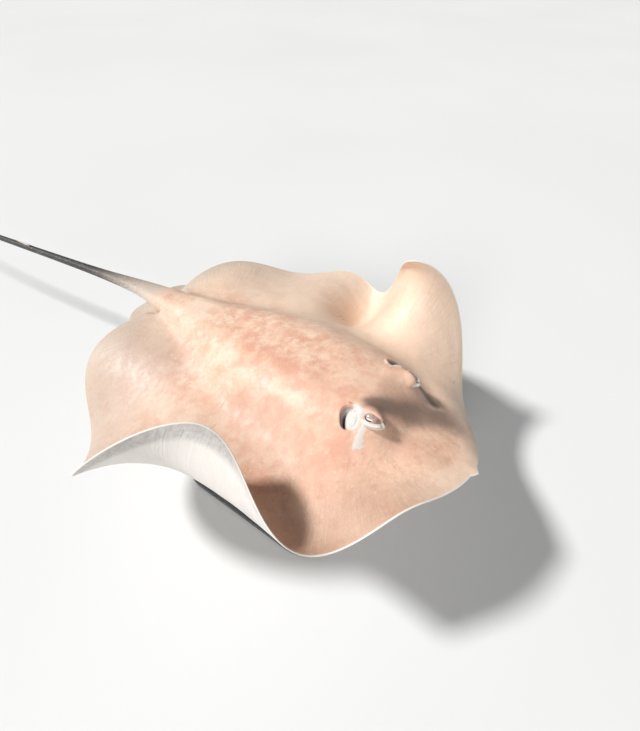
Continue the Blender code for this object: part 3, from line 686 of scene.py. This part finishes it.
def setSockets(tree, node, sockets):
    # links what is a socket, and sets what is a number, a vector or a colour
    for key, value in sockets.items():
        if isinstance(value, bpy.types.NodeSocket):
            tree.links.new(value, node.inputs[key])
        else:
            node.inputs[key].default_value = value
    return node


def addNode(tree, kind, sockets=None, **settings):
    made = tree.nodes.new(kind)
    for key, value in settings.items():
        setattr(made, key, value)
    return setSockets(tree, made, sockets or {})


def noiseOf(tree, where, scale, detail=3.0, rough=0.55, distortion=0.0):
    sockets = {"Vector": where, "Scale": scale, "Detail": detail, "Roughness": rough,
               "Distortion": distortion}
    return addNode(tree, "ShaderNodeTexNoise", sockets).outputs["Fac"]


def rampOf(tree, value, low, high, out0=0.0, out1=1.0):
    # a soft step from out0 to out1 while value goes from low to high
    sockets = {"Value": value, "From Min": low, "From Max": high, "To Min": out0, "To Max": out1}
    return addNode(tree, "ShaderNodeMapRange", sockets, interpolation_type="SMOOTHSTEP").outputs["Result"]


def mathOf(tree, operation, a, b):
    return addNode(tree, "ShaderNodeMath", {0: a, 1: b}, operation=operation).outputs["Value"]


def mixColour(tree, share, first, second):
    # a share of the second colour over the first
    first, second = ((*c, 1) if isinstance(c, tuple) else c for c in (first, second))
    return addNode(tree, "ShaderNodeMix", {0: share, 6: first, 7: second}, data_type="RGBA").outputs[2]


def bumpOf(tree, height, strength, distance, **more):
    sockets = {"Height": height, "Strength": strength, "Distance": distance, **more}
    return addNode(tree, "ShaderNodeBump", sockets).outputs["Normal"]


def attributeOf(tree, name, output="Fac"):
    return addNode(tree, "ShaderNodeAttribute", attribute_name=name).outputs[output]


def objectPlace(tree):
    return addNode(tree, "ShaderNodeTexCoord").outputs["Object"]


def newGroup(name, inputs, outputs):
    made = bpy.data.node_groups.new(name, "ShaderNodeTree")
    for label, kind, value in inputs:
        socket = made.interface.new_socket(label, in_out="INPUT", socket_type=kind)
        if value is not None:
            socket.default_value = value
    for label in outputs:
        made.interface.new_socket(label, in_out="OUTPUT", socket_type="NodeSocketFloat")
    return made, made.nodes.new("NodeGroupInput"), made.nodes.new("NodeGroupOutput")


def useGroup(tree, group, **sockets):
    return addNode(tree, "ShaderNodeGroup", sockets, node_tree=group)


def grainGroup():
    # fine grain: two sizes of noise and small cells, as a height and as a share for colour and roughness
    inputs = (("Vector", "NodeSocketVector", None), ("Size", "NodeSocketFloat", 300.0))
    tree, given, made = newGroup("fineGrain", inputs, ("Height", "Share"))
    where, size = given.outputs["Vector"], given.outputs["Size"]
    wideSize, cellSize = (mathOf(tree, "MULTIPLY", size, ratio) for ratio in (0.22, 1.6))
    small, wide = noiseOf(tree, where, size, 4.0, 0.5), noiseOf(tree, where, wideSize, 3.0, 0.5)
    cells = addNode(tree, "ShaderNodeTexVoronoi", {"Vector": where, "Scale": cellSize}).outputs["Distance"]
    height = mathOf(tree, "ADD", small, mathOf(tree, "MULTIPLY", cells, -0.5))
    height = mathOf(tree, "ADD", height, wide)
    setSockets(tree, made, {"Height": height, "Share": rampOf(tree, wide, 0.3, 0.7)})
    return tree


fineGrain = grainGroup()

skinLook = {
    "peach": (0.82, 0.51, 0.36), "pink": (0.70, 0.35, 0.24), "cream": (0.90, 0.71, 0.55),
    "outer": (0.66, 0.50, 0.39), "grey": (0.45, 0.36, 0.30), "edge": (0.88, 0.83, 0.76),
    "belly": (0.73, 0.685, 0.64), "bellyRim": (0.30, 0.285, 0.27), "white": (0.74, 0.70, 0.65),
    "pocketWall": (0.36, 0.32, 0.30), "pocket": (0.06, 0.05, 0.05), "slit": (0.40, 0.25, 0.21),
    "tailRoot": (0.60, 0.50, 0.41), "tailDark": (0.045, 0.042, 0.042), "tailSpeck": (0.30, 0.28, 0.25),
    "paintedShadow": (0.25, 0.17, 0.13), "scratchAndShadeBrown": (0.45, 0.27, 0.18), "brown": (0.62, 0.35, 0.23),
    "paintedShadowShare": 0.88, "scratchShare": 0.6, "streakShare": 0.92, "edgeWidth": (0.0050, 0.0015),
    "grainSize": 260.0,
}
# noise for the markings: scale, detail, roughness, distortion
skinNoise = {
    "wide": (4.0, 3.0, 0.5, 0.2), "patchy": (38.0, 4.0, 0.6, 0.3), "freckle": (105.0, 4.0, 0.65, 0.2),
    "cloud": (17.0, 5.0, 0.62, 0.3), "spots": (29.0, 6.0, 0.66, 0.2), "pale": (5.5, 3.0, 0.5, 0.2),
    "mottle": (75.0, 5.0, 0.7, 0.2), "speck": (420.0, 2.0, 0.6), "tailSpots": (150.0, 4.0, 0.7),
    "ripple": (9.0, 3.0), "blotch": (14.0, 3.0, 0.5, 0.4), "dots": (62.0, 1.0), "ragged": (85.0, 5.0, 0.7),
    "wrinkle": (260.0, 3.0, 0.6, 0.8),
}
# regions of the back: colour, share, and the ramps that bound them; "out" is negative on the right
skinRegions = (
    # painted shade: the right front edge is browner where it turns away from the light
    ("scratchAndShadeBrown", 0.62, (("out", -0.13, -0.25), ("back", 0.32, 0.15))),
    ("grey", 0.60, (("back", 0.62, 0.88), ("out", 0.02, -0.22))),
    # painted light: the left wing and the trough beyond the back's ridge are paler, standing in for light
    # falling there
    ("cream", 0.60, (("out", 0.04, 0.22),)),
    ("cream", 0.60, (("rim", 0.10, 0.01), ("back", 0.42, 0.20), ("out", -0.20, -0.08))),
)
shoulderRegion = (("out", -0.01, -0.08), ("out", -0.30, -0.18), ("back", 0.20, 0.30), ("back", 0.72, 0.56))
# painted shadow strips: start, direction, ramps at the near and far end, half width and how much it spreads
# per metre
paintedShadowStrips = (
    ((-0.080, 0.285), -0.717, (-0.010, 0.020), (0.34, 0.23), 0.015, 0.15),
    ((0.143, 0.230), -1.873, (-0.006, 0.008), (0.11, 0.06), 0.008, 0.15),
)


def skinMaterial():
    made, tree, shader = newMaterial("whipraySkin")
    look = skinLook
    flat = attributeOf(tree, "flat", "Vector")
    names = ("rim", "belly", "ray", "share", "streak", "pocket", "slits", "white")
    rim, belly, ray, share, streak, pocket, slits, lids = (attributeOf(tree, name) for name in names)
    split = addNode(tree, "ShaderNodeSeparateXYZ", {"Vector": flat})
    out, back = split.outputs["X"], split.outputs["Y"]
    noise = {name: noiseOf(tree, flat, *settings) for name, settings in skinNoise.items()}
    places = {"out": out, "back": back, "rim": rim}

    def ramp(value, *ends):
        return rampOf(tree, noise[value] if isinstance(value, str) else value, *ends)

    def times(total, *values):
        for value in values:
            total = mathOf(tree, "MULTIPLY", total, value)
        return total

    def plus(a, b):
        return mathOf(tree, "ADD", a, b)

    def paint(under, name, *shares):
        # a colour over another, as strong as the product of its shares
        return mixColour(tree, times(*shares), under, look[name])

    def region(rows):
        return [ramp(places[key], low, high) for key, low, high in rows]

    # fin rays: noise stretched along each ray from the body to the edge
    rays = addNode(tree, "ShaderNodeCombineXYZ", {"X": times(ray, 190.0), "Y": times(share, 2.2),
                                                  "Z": times(ramp(out, -0.001, 0.001), 7.0)}).outputs[0]
    rayLines = noiseOf(tree, rays, 1.0, 3.0, 0.6)
    rayPlace = times(ramp(share, 0.15, 0.75), ramp(rim, 0.003, 0.02), ramp(ray, 0.03, 0.12))

    # back: peach in the middle and greyer out on the wings, under soft pink clouds and cream mottling
    outward = ramp(plus(rim, times(noise["wide"], -0.25)), 0.14, -0.12)
    rear = ramp(back, 0.15, 0.60, 0.25, 1.0)
    centre = ramp(plus(rim, times(noise["wide"], 0.10)), 0.10, 0.42)
    nearEdge = plus(ramp(rim, 0.12, 0.0), ramp(back, 0.70, 1.0))
    colour = paint(look["peach"], "outer", outward, rear, 0.85)
    colour = paint(colour, "brown", ramp("patchy", 0.46, 0.64), 0.50)
    colour = paint(colour, "cream", ramp("freckle", 0.50, 0.70), 0.55)
    colour = paint(colour, "pink", ramp("cloud", 0.42, 0.68), plus(times(centre, 0.68), 0.12))
    colour = paint(colour, "cream", ramp("spots", 0.44, 0.68), plus(times(centre, 0.50), 0.28), rear)
    colour = paint(colour, "cream", ramp("pale", 0.40, 0.70), rear, 0.60)
    colour = paint(colour, "grey", ramp("mottle", 0.48, 0.78), plus(times(nearEdge, 0.40), 0.14))

    # pinker right shoulder, greyer right rear and paler front edge; painted shade makes the right front edge
    # browner and painted light makes the left wing paler
    cloudy = plus(times(ramp("cloud", 0.40, 0.60), 0.35), 0.32)
    colour = paint(colour, "pink", *region(shoulderRegion), cloudy)
    for name, strength, rows in skinRegions:
        colour = paint(colour, name, *region(rows), strength)
    colour = paint(colour, "grey", ramp(rayLines, 0.52, 0.72), rayPlace, 0.16)
    colour = paint(colour, "grey", ramp("speck", 0.60, 0.72), 0.14)
    colour = paint(colour, "cream", ramp("speck", 0.42, 0.30), 0.14)

    # painted shadow: a dark band from behind the right eye across to the left of the snout, and a thin wedge
    # before the left eye
    def strip(start, turn, near, far, half, spread):
        # along and across the strip, which is wider by "spread" for every metre of the way
        cos, sin = math.cos(turn), math.sin(turn)
        dx, dy = plus(out, -start[0]), plus(back, -start[1])
        along = plus(times(dx, cos), times(dy, sin))
        across = mathOf(tree, "ABSOLUTE", plus(times(dx, -sin), times(dy, cos)), 0.0)
        across = mathOf(tree, "DIVIDE", across, plus(times(along, spread), half))
        uneven = times(plus(noise["cloud"], -0.5), 1.2)
        return times(ramp(plus(across, uneven), 1.4, 0.3), ramp(along, *near), ramp(along, *far))

    # painted shadow: the band and the wedge darken the skin as shade would
    paintedShadow = mathOf(tree, "MAXIMUM", *(strip(*settings) for settings in paintedShadowStrips))
    colour = paint(colour, "paintedShadow", paintedShadow, look["paintedShadowShare"])

    # old scratches: short thin dashes where the widest noise lets them
    sockets = {"Vector": flat, "Rotation": (0, 0, 0.6), "Scale": (9, 130, 9)}
    turned = addNode(tree, "ShaderNodeMapping", sockets).outputs[0]
    dashes = times(ramp(noiseOf(tree, turned, 1.0, 1.0, 0.4), 0.735, 0.765), ramp("wide", 0.52, 0.60))
    colour = paint(colour, "scratchAndShadeBrown", dashes, look["scratchShare"])
    colour = paint(colour, "edge", ramp(rim, *look["edgeWidth"]))

    # tail: pale root, then speckled grey, then nearly black
    colour = paint(colour, "tailRoot", ramp(back, 0.99, 1.10))
    colour = paint(colour, "tailDark", ramp(plus(back, times(noise["tailSpots"], 0.30)), 1.20, 1.55))
    colour = paint(colour, "tailSpeck", ramp("tailSpots", 0.60, 0.66), ramp(back, 1.12, 1.25))

    # underside: white with a thin mottled grey border, wider at the fins' tips, faint ribs and grey clouds
    tip = ramp(mathOf(tree, "ABSOLUTE", out, 0.0), 0.515, 0.59)
    border = ramp(plus(plus(rim, times(noise["ripple"], 0.020)), times(tip, -0.045)), 0.034, 0.002)
    low = paint(look["belly"], "bellyRim", border, plus(times(ramp("mottle", 0.35, 0.65), 0.30), 0.35))
    low = paint(low, "outer", ramp("cloud", 0.50, 0.80), 0.16)
    low = paint(low, "bellyRim", ramp(rayLines, 0.50, 0.72), rayPlace, 0.06)
    low = paint(low, "bellyRim", ramp("blotch", 0.54, 0.70), 0.16)
    low = paint(low, "pocketWall", ramp("dots", 0.76, 0.79), 0.45)
    low = paint(low, "edge", ramp(rim, *look["edgeWidth"]))
    low = paint(low, "tailDark", ramp(back, 1.10, 1.30))
    colour = mixColour(tree, ramp(belly, 0.45, 0.55), colour, low)
    colour = paint(colour, "slit", slits)

    # head: white lids, valve and streak, grey wall of the spiracle, and painted shade that darkens its floor
    ragged = plus(streak, times(plus(noise["ragged"], -0.5), ramp(streak, 0.02, 0.35), 2.6))
    colour = paint(colour, "white", ramp(ragged, 0.25, 0.75), look["streakShare"])
    colour = paint(colour, "pocketWall", ramp(pocket, 0.02, 0.30))
    # painted shade: the spiracle's floor darkens nearly to black with its depth
    colour = paint(colour, "pocket", ramp(pocket, 0.50, 0.95))
    whiteTone = paint(look["white"], "outer", ramp("mottle", 0.40, 0.75), 0.30)
    whiteTone = paint(whiteTone, "pocketWall", ramp("wrinkle", 0.50, 0.66), 0.22)
    colour = mixColour(tree, lids, colour, whiteTone)

    grain = useGroup(tree, fineGrain, Vector=flat, Size=look["grainSize"])
    folds = addNode(tree, "ShaderNodeCombineXYZ", {"X": times(ray, 14.0), "Y": times(rim, 70.0)}).outputs[0]
    creases = noiseOf(tree, folds, 1.0, 4.0, 0.6, 0.6)
    creases = times(creases, ramp(share, 0.2, 0.8), ramp(ray, 0.03, 0.12), 0.6)
    coarse = bumpOf(tree, plus(times(rayLines, rayPlace), creases), 0.30, 0.0035)
    setSockets(tree, shader, {
        "Base Color": colour, "Roughness": ramp(grain.outputs["Share"], 0.0, 1.0, 0.46, 0.62),
        "Normal": bumpOf(tree, grain.outputs["Height"], 0.30, 0.0011, Normal=coarse),
        "Subsurface Weight": 0.08, "Subsurface Radius": (0.010, 0.005, 0.003), "Subsurface Scale": 1.0,
        "Coat Weight": 0.06, "Coat Roughness": 0.30})
    return made


skin = buildSkin(skinMaterial())

eyeLook = {
    "iris": (0.56, 0.42, 0.37), "irisDark": (0.34, 0.23, 0.19), "rim": (0.66, 0.56, 0.50),
    "pupil": (0.006, 0.006, 0.007), "corner": (0.45, 0.21, 0.17), "paintedGlint": (0.86, 0.82, 0.78),
    "rings": 40, "segments": 56, "cornea": 0.04, "corneaStart": 0.55,
}


def eyeMaterial():
    made, tree, shader = newMaterial("eyeGloss")
    gaze = attributeOf(tree, "gaze", "Vector")
    split = addNode(tree, "ShaderNodeSeparateXYZ", {"Vector": gaze})
    x, y = split.outputs["X"], split.outputs["Y"]

    def disk(cx, cy, squash, inner, outer):
        # a soft disk round a point on the face of the eye: 1 where the distance is past "outer"
        dx = mathOf(tree, "ADD", x, -cx)
        dy = mathOf(tree, "MULTIPLY", mathOf(tree, "ADD", y, -cy), squash)
        total = mathOf(tree, "ADD", mathOf(tree, "MULTIPLY", dx, dx), mathOf(tree, "MULTIPLY", dy, dy))
        return rampOf(tree, mathOf(tree, "SQRT", total, 0.0), inner, outer)

    veins = noiseOf(tree, gaze, 6.0, 5.0, 0.7, 1.5)
    pupil = mathOf(tree, "MULTIPLY", disk(-0.12, -0.03, 1.0, 0.44, 0.40), disk(-0.10, 0.10, 1.0, 0.38, 0.42))
    colour = mixColour(tree, rampOf(tree, veins, 0.38, 0.62), eyeLook["irisDark"], eyeLook["iris"])
    # painted highlight: a pale glint low on the eye, just above the pupil's crescent
    shares = {"rim": disk(0.0, 0.0, 1.0, 0.80, 0.94), "corner": disk(0.80, -0.05, 0.7, 0.30, 0.16),
              "paintedGlint": disk(-0.12, -0.23, 2.2, 0.26, 0.18), "pupil": pupil}
    for name, share in shares.items():
        colour = mixColour(tree, share, colour, eyeLook[name])
    setSockets(tree, shader, {"Base Color": colour, "Roughness": rampOf(tree, veins, 0.3, 0.7, 0.10, 0.18),
                              "Coat Weight": 1.0, "Coat Roughness": 0.03})
    return made


def buildEye(name, side, material):
    # ball whose front swells as a cornea, with its pole turned to where it looks
    rings, segments = eyeLook["rings"], eyeLook["segments"]
    polar = np.linspace(0, np.pi, rings + 1)[1:-1, None]
    turn = fullTurn(segments)[None, :]
    local = np.broadcast_arrays(np.sin(polar) * np.cos(turn), np.sin(polar) * np.sin(turn), np.cos(polar))
    local = np.concatenate([np.stack(local, axis=-1).reshape(-1, 3), [[0, 0, 1], [0, 0, -1]]])
    start = eyeLook["corneaStart"]
    swell = 1 + eyeLook["cornea"] * smooth((local[:, 2] - start) / (1 - start))
    axes = np.stack(gazeAxes(side))
    roll = float(frontRoll(eye["back"]))
    turn = np.array([[math.cos(roll), 0, -math.sin(roll)], [0, 1, 0], [math.sin(roll), 0, math.cos(roll)]])
    axes = axes @ turn.T
    centre = poseBody(np.array([side * eye["out"], eye["back"], eye["up"]]), eye["back"])
    points = centre + (local * swell[:, None]) @ axes * eye["radius"] * [1, eye["stretch"], 1]
    block = closedGrid(rings - 1, segments)
    pole = (rings - 1) * segments
    front = np.stack([np.full(segments, pole), block[0, :-1], block[0, 1:]], axis=-1)
    rear = np.stack([np.full(segments, pole + 1), block[-1, 1:], block[-1, :-1]], axis=-1)
    order = int(np.sign(np.linalg.det(axes)))
    faces = [tuple(f) for rows in (quads(block)[:, ::-1], front, rear) for f in rows[:, ::order].tolist()]
    mesh = bpy.data.meshes.new(name)
    mesh.from_pydata(points.tolist(), [], faces)
    giveAttributes(mesh, {"gaze": local})
    mesh.shade_smooth()
    ball = newObject(name + "_ball", mesh, material)
    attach(ball, "root")
    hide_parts(name)
    return ball


eyeGloss = eyeMaterial()
for name, side in (("eye_left", 1), ("eye_right", -1)):
    buildEye(name, side, eyeGloss)
print("eyes done")

sting = {
    "start": 0.70, "length": 0.095, "halfWidth": 0.0042, "halfHeight": 0.0018, "lift": 0.006, "sunk": 0.0002,
    "teeth": 26, "toothDepth": 0.22, "toothless": 0.15, "tip": 0.06, "rings": 157, "sides": 12,
    "bone": (0.72, 0.64, 0.50), "stain": (0.45, 0.36, 0.26), "root": (0.16, 0.13, 0.11),
}


def ringFaces(rings, sides):
    # faces of a closed tube, with both ends capped
    block = closedGrid(rings, sides)
    faces = [tuple(f) for f in quads(block).tolist()]
    return faces + [tuple(block[0, :-1][::-1].tolist()), tuple(block[-1, :-1].tolist())]


sharpAngle = 40  # degrees between faces from which an edge shows


def closedPiece(name, rings, material, attributes):
    # rings of points made into one closed mesh whose faces look outward
    mesh = bpy.data.meshes.new(name)
    mesh.from_pydata(rings.reshape(-1, 3).tolist(), [], ringFaces(*rings.shape[:2]))
    giveAttributes(mesh, attributes)
    faceOutward(mesh)
    mesh.set_sharp_from_angle(angle=math.radians(sharpAngle))
    made = newObject(name, mesh, material)
    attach(made, "root")
    return made


def stingMaterial():
    made, tree, shader = newMaterial("stingBone")
    where = objectPlace(tree)
    stain = noiseOf(tree, where, 260.0, 4.0, 0.6)
    colour = mixColour(tree, rampOf(tree, stain, 0.35, 0.70), sting["bone"], sting["stain"])
    colour = mixColour(tree, rampOf(tree, attributeOf(tree, "along"), 0.25, 0.0), colour, sting["root"])
    grain = useGroup(tree, fineGrain, Vector=where, Size=1400.0)
    setSockets(tree, shader, {"Base Color": colour,
                              "Roughness": rampOf(tree, grain.outputs["Share"], 0.0, 1.0, 0.35, 0.55),
                              "Normal": bumpOf(tree, grain.outputs["Height"], 0.25, 0.0003)})
    return made


def buildSting():
    # half width = taper times (1 - depth of a saw tooth that points back to the root)
    p = sting
    part = np.linspace(0, 1, p["rings"])
    q = p["start"] + part * p["length"]
    taper = (1 - part**2) * (1 - p["tip"]) + p["tip"]
    tooth = 1 - p["toothDepth"] * (part * p["teeth"] % 1) * smooth(part / p["toothless"])
    turn = fullTurn(p["sides"])
    across, up = tailFrame(q)
    above = tailSize(q)[1] + p["halfHeight"] + p["lift"] * part**2 - p["sunk"]
    sideways = np.cos(turn)[None, :, None] * across[:, None] * (p["halfWidth"] * taper * tooth)[:, None, None]
    upward = np.sin(turn)[None, :, None] * up[:, None] * (p["halfHeight"] * taper)[:, None, None]
    rings = (tailPath(q) + above[:, None] * up)[:, None] + sideways + upward
    made = closedPiece("tail_sting_blade", rings, stingMaterial(), {"along": np.repeat(part, p["sides"])})
    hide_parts("tail_sting")


buildSting()
print("sting done")

stand = {
    "width": 0.54, "length": 0.58, "height": 0.012, "corner": 0.12,
    "bevel": 0.002, "bevelSteps": 6, "cornerSteps": 20, "wearInset": 0.3, "rodBevelSteps": 5,
    "rodRadius": 0.011, "rodPlaces": {"stand_rod_front": -0.10, "stand_rod_rear": 0.10}, "rodSides": 64,
    "collarRadius": 0.024, "collarHeight": 0.014, "collarBevel": 0.002, "fillet": 0.004, "sunk": 0.002,
    "paint": (0.095, 0.096, 0.100), "dust": (0.50, 0.49, 0.47), "wornPaint": (0.34, 0.34, 0.34),
    "steel": (0.56, 0.56, 0.57), "steelLines": (0.66, 0.66, 0.67), "wornSteel": (0.75, 0.75, 0.76),
}


def wearGroup():
    # worn places: near an edge, where a rough noise lets it through
    inputs = (("Vector", "NodeSocketVector", None), ("Edge", "NodeSocketFloat", 0.0),
              ("Scale", "NodeSocketFloat", 60.0))
    tree, given, made = newGroup("edgeWear", inputs, ("Mask",))
    patch = noiseOf(tree, given.outputs["Vector"], given.outputs["Scale"], 5.0, 0.7)
    amount = mathOf(tree, "ADD", patch, mathOf(tree, "MULTIPLY", given.outputs["Edge"], 0.35))
    tree.links.new(rampOf(tree, amount, 0.78, 0.92), made.inputs["Mask"])
    return tree


edgeWear = wearGroup()


def paintMaterial():
    made, tree, shader = newMaterial("satinPaint")
    where = objectPlace(tree)
    wear = useGroup(tree, edgeWear, Vector=where, Edge=attributeOf(tree, "edge"), Scale=90.0).outputs["Mask"]
    grain = useGroup(tree, fineGrain, Vector=where, Size=900.0)
    dust = rampOf(tree, noiseOf(tree, where, 7.0, 5.0, 0.65), 0.42, 0.75)
    colour = mixColour(tree, mathOf(tree, "MULTIPLY", dust, 0.10), stand["paint"], stand["dust"])
    colour = mixColour(tree, mathOf(tree, "MULTIPLY", wear, 0.5), colour, stand["wornPaint"])
    dull = mathOf(tree, "ADD", grain.outputs["Share"], dust)
    setSockets(tree, shader, {"Base Color": colour, "Roughness": rampOf(tree, dull, 0.2, 1.8, 0.34, 0.56),
                              "Normal": bumpOf(tree, grain.outputs["Height"], 0.20, 0.0003)})
    return made


def steelMaterial():
    made, tree, shader = newMaterial("turnedSteel")
    where = objectPlace(tree)
    turned = addNode(tree, "ShaderNodeMapping", {"Vector": where, "Scale": (12, 12, 2600)}).outputs[0]
    lines = noiseOf(tree, turned, 1.0, 3.0, 0.6)
    wear = useGroup(tree, edgeWear, Vector=where, Edge=attributeOf(tree, "edge"), Scale=140.0).outputs["Mask"]
    smudge = rampOf(tree, noiseOf(tree, where, 35.0, 4.0, 0.6), 0.45, 0.75)
    colour = mixColour(tree, rampOf(tree, lines, 0.3, 0.7), stand["steel"], stand["steelLines"])
    colour = mixColour(tree, mathOf(tree, "MULTIPLY", wear, 0.4), colour, stand["wornSteel"])
    rough = rampOf(tree, lines, 0.3, 0.7, 0.26, 0.36)
    rough = mathOf(tree, "ADD", rough, mathOf(tree, "MULTIPLY", smudge, 0.10))
    setSockets(tree, shader, {"Base Color": colour, "Metallic": 1.0, "Roughness": rough,
                              "Normal": bumpOf(tree, lines, 0.12, 0.0002)})
    return made


def buildBase():
    # plate with round corners; each level is the outline drawn in by a quarter circle of bevel
    p = stand
    quarter = np.linspace(0, np.pi / 2, p["bevelSteps"] + 1)
    inset = p["bevel"] * np.concatenate([1 - np.sin(quarter), 1 - np.cos(quarter)])
    foot, top = p["bevel"] * (1 - np.cos(quarter)), p["height"] - p["bevel"] * (1 - np.sin(quarter))
    level = np.concatenate([foot, top])
    turn = np.concatenate([np.linspace(0, np.pi / 2, p["cornerSteps"]) + k * np.pi / 2 for k in range(4)])
    middle = np.repeat([(1, 1), (-1, 1), (-1, -1), (1, -1)], p["cornerSteps"], axis=0)
    middle = middle * [p["width"] / 2 - p["corner"], p["length"] / 2 - p["corner"]]
    spokes = np.stack([np.cos(turn), np.sin(turn)], axis=-1)
    outline = middle[None] + spokes[None] * (p["corner"] - inset)[:, None, None]
    heights = np.broadcast_to(level[:, None, None], (len(level), len(turn), 1))
    edge = np.repeat(np.exp(-np.abs(inset - p["wearInset"] * p["bevel"]) / p["bevel"]), len(turn))
    rings = np.concatenate([outline, heights], axis=-1)
    plate = closedPiece("stand_base_plate", rings, paintMaterial(), {"edge": edge})
    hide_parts("stand_base")


def buildRod(name, y, steel):
    # turned profile: collar with a bevel, a small fillet, then the rod up into the belly's skin
    p = stand
    back = np.full(2, y + swim["standBack"])
    low = bodyHeights(np.array([0, p["rodRadius"]]), back, 0 * back, 0 * back + 0.5)[1]
    belly = poseBody(np.stack([0 * back, back, -low], axis=-1), back)[:, 2].max()
    quarter = np.linspace(0, np.pi / 2, p["rodBevelSteps"] + 1)
    foot, top = p["height"], p["height"] + p["collarHeight"]
    radii = [p["collarRadius"]] * 2 + list(p["collarRadius"] - p["collarBevel"] * (1 - np.cos(quarter)))
    levels = [foot, top - p["collarBevel"]] + list(top - p["collarBevel"] * (1 - np.sin(quarter)))
    radii += list(p["rodRadius"] + p["fillet"] * (1 - np.sin(quarter))) + [p["rodRadius"]] * 2
    levels += list(top + p["fillet"] * (1 - np.cos(quarter))) + [0.5 * (top + belly), belly + p["sunk"]]
    turn = fullTurn(p["rodSides"])
    circle = np.stack([np.cos(turn), np.sin(turn), 0 * turn], axis=-1)
    rings = circle[None] * np.array(radii)[:, None, None] + [0, y, 0]
    rings[..., 2] = np.array(levels)[:, None]
    edge = np.exp(-np.abs(np.array(levels) - top + p["collarBevel"] / 2) / p["collarBevel"])
    rod = closedPiece(name + "_turned", rings, steel, {"edge": np.repeat(edge, p["rodSides"])})
    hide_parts(name)


buildBase()
turnedSteel = steelMaterial()
for name, y in stand["rodPlaces"].items():
    buildRod(name, y, turnedSteel)
print("stand done")

studio = {
    "floorSize": 60, "floor": (0.78, 0.78, 0.77), "floorTone": 0.97,
    "world": (0.84, 0.88, 0.92), "worldStrength": 0.095, "wallStrength": 0.80,
    # where it shines from, strength, softness in degrees
    "suns": {"key": ((-0.345, 0.559, 0.754), 3.3, 8), "side": ((-0.84, -0.20, 0.50), 1.40, 25),
             "overhead": ((-0.20, -0.35, 0.92), 0.28, 110)},
}
view = {
    "place": (-0.7116, -0.5695, 1.3828), "ahead": (0.57766, 0.38810, -0.71811), "roll": 2.0,
    "lens": 23.64, "sensorHeight": 36, "clip": (0.05, 200),
}


def buildStudio():
    half = studio["floorSize"] / 2
    mesh = bpy.data.meshes.new("floor")
    corners = [(-half, -half, 0), (half, -half, 0), (half, half, 0), (-half, half, 0)]
    mesh.from_pydata(corners, [], [(0, 1, 2, 3)])
    made, tree, shader = newMaterial("paleFloor")
    tone = noiseOf(tree, objectPlace(tree), 0.5, 2.0)
    darker = tuple(studio["floorTone"] * c for c in studio["floor"])
    colour = mixColour(tree, rampOf(tree, tone, 0.3, 0.7), studio["floor"], darker)
    setSockets(tree, shader, {"Base Color": colour, "Roughness": 0.7})
    floor = newObject("floor", mesh, made)
    world = bpy.data.worlds.new("studio")
    bpy.context.scene.world = world
    world.use_nodes = True
    # the room lights the model softly, but its far wall looks pale
    seen = addNode(world.node_tree, "ShaderNodeLightPath").outputs["Is Camera Ray"]
    sockets = {"Value": seen, "To Min": studio["worldStrength"], "To Max": studio["wallStrength"]}
    strength = addNode(world.node_tree, "ShaderNodeMapRange", sockets).outputs["Result"]
    sockets = {"Color": (*studio["world"], 1), "Strength": strength}
    setSockets(world.node_tree, world.node_tree.nodes["Background"], sockets)
    for name, (place, strength, softness) in studio["suns"].items():
        sun = bpy.data.objects.new(name, bpy.data.lights.new(name, "SUN"))
        sun.data.energy = strength
        sun.data.angle = math.radians(softness)
        sun.rotation_mode = "QUATERNION"
        sun.rotation_quaternion = Vector(place).to_track_quat("Z", "Y")
        bpy.context.scene.collection.objects.link(sun)


def buildCamera():
    made = bpy.data.objects.new("camera", bpy.data.cameras.new("camera"))
    made.location = view["place"]
    made.rotation_mode = "QUATERNION"
    turn = Vector(view["ahead"]).to_track_quat("-Z", "Y")
    made.rotation_quaternion = turn @ Quaternion((0, 0, 1), math.radians(view["roll"]))
    made.data.sensor_fit = "VERTICAL"
    made.data.sensor_height = view["sensorHeight"]
    made.data.lens = view["lens"]
    made.data.clip_start, made.data.clip_end = view["clip"]
    bpy.context.scene.collection.objects.link(made)
    bpy.context.scene.camera = made


buildStudio()
buildCamera()
bpy.context.scene.view_settings.view_transform = "Standard"
print("studio done")
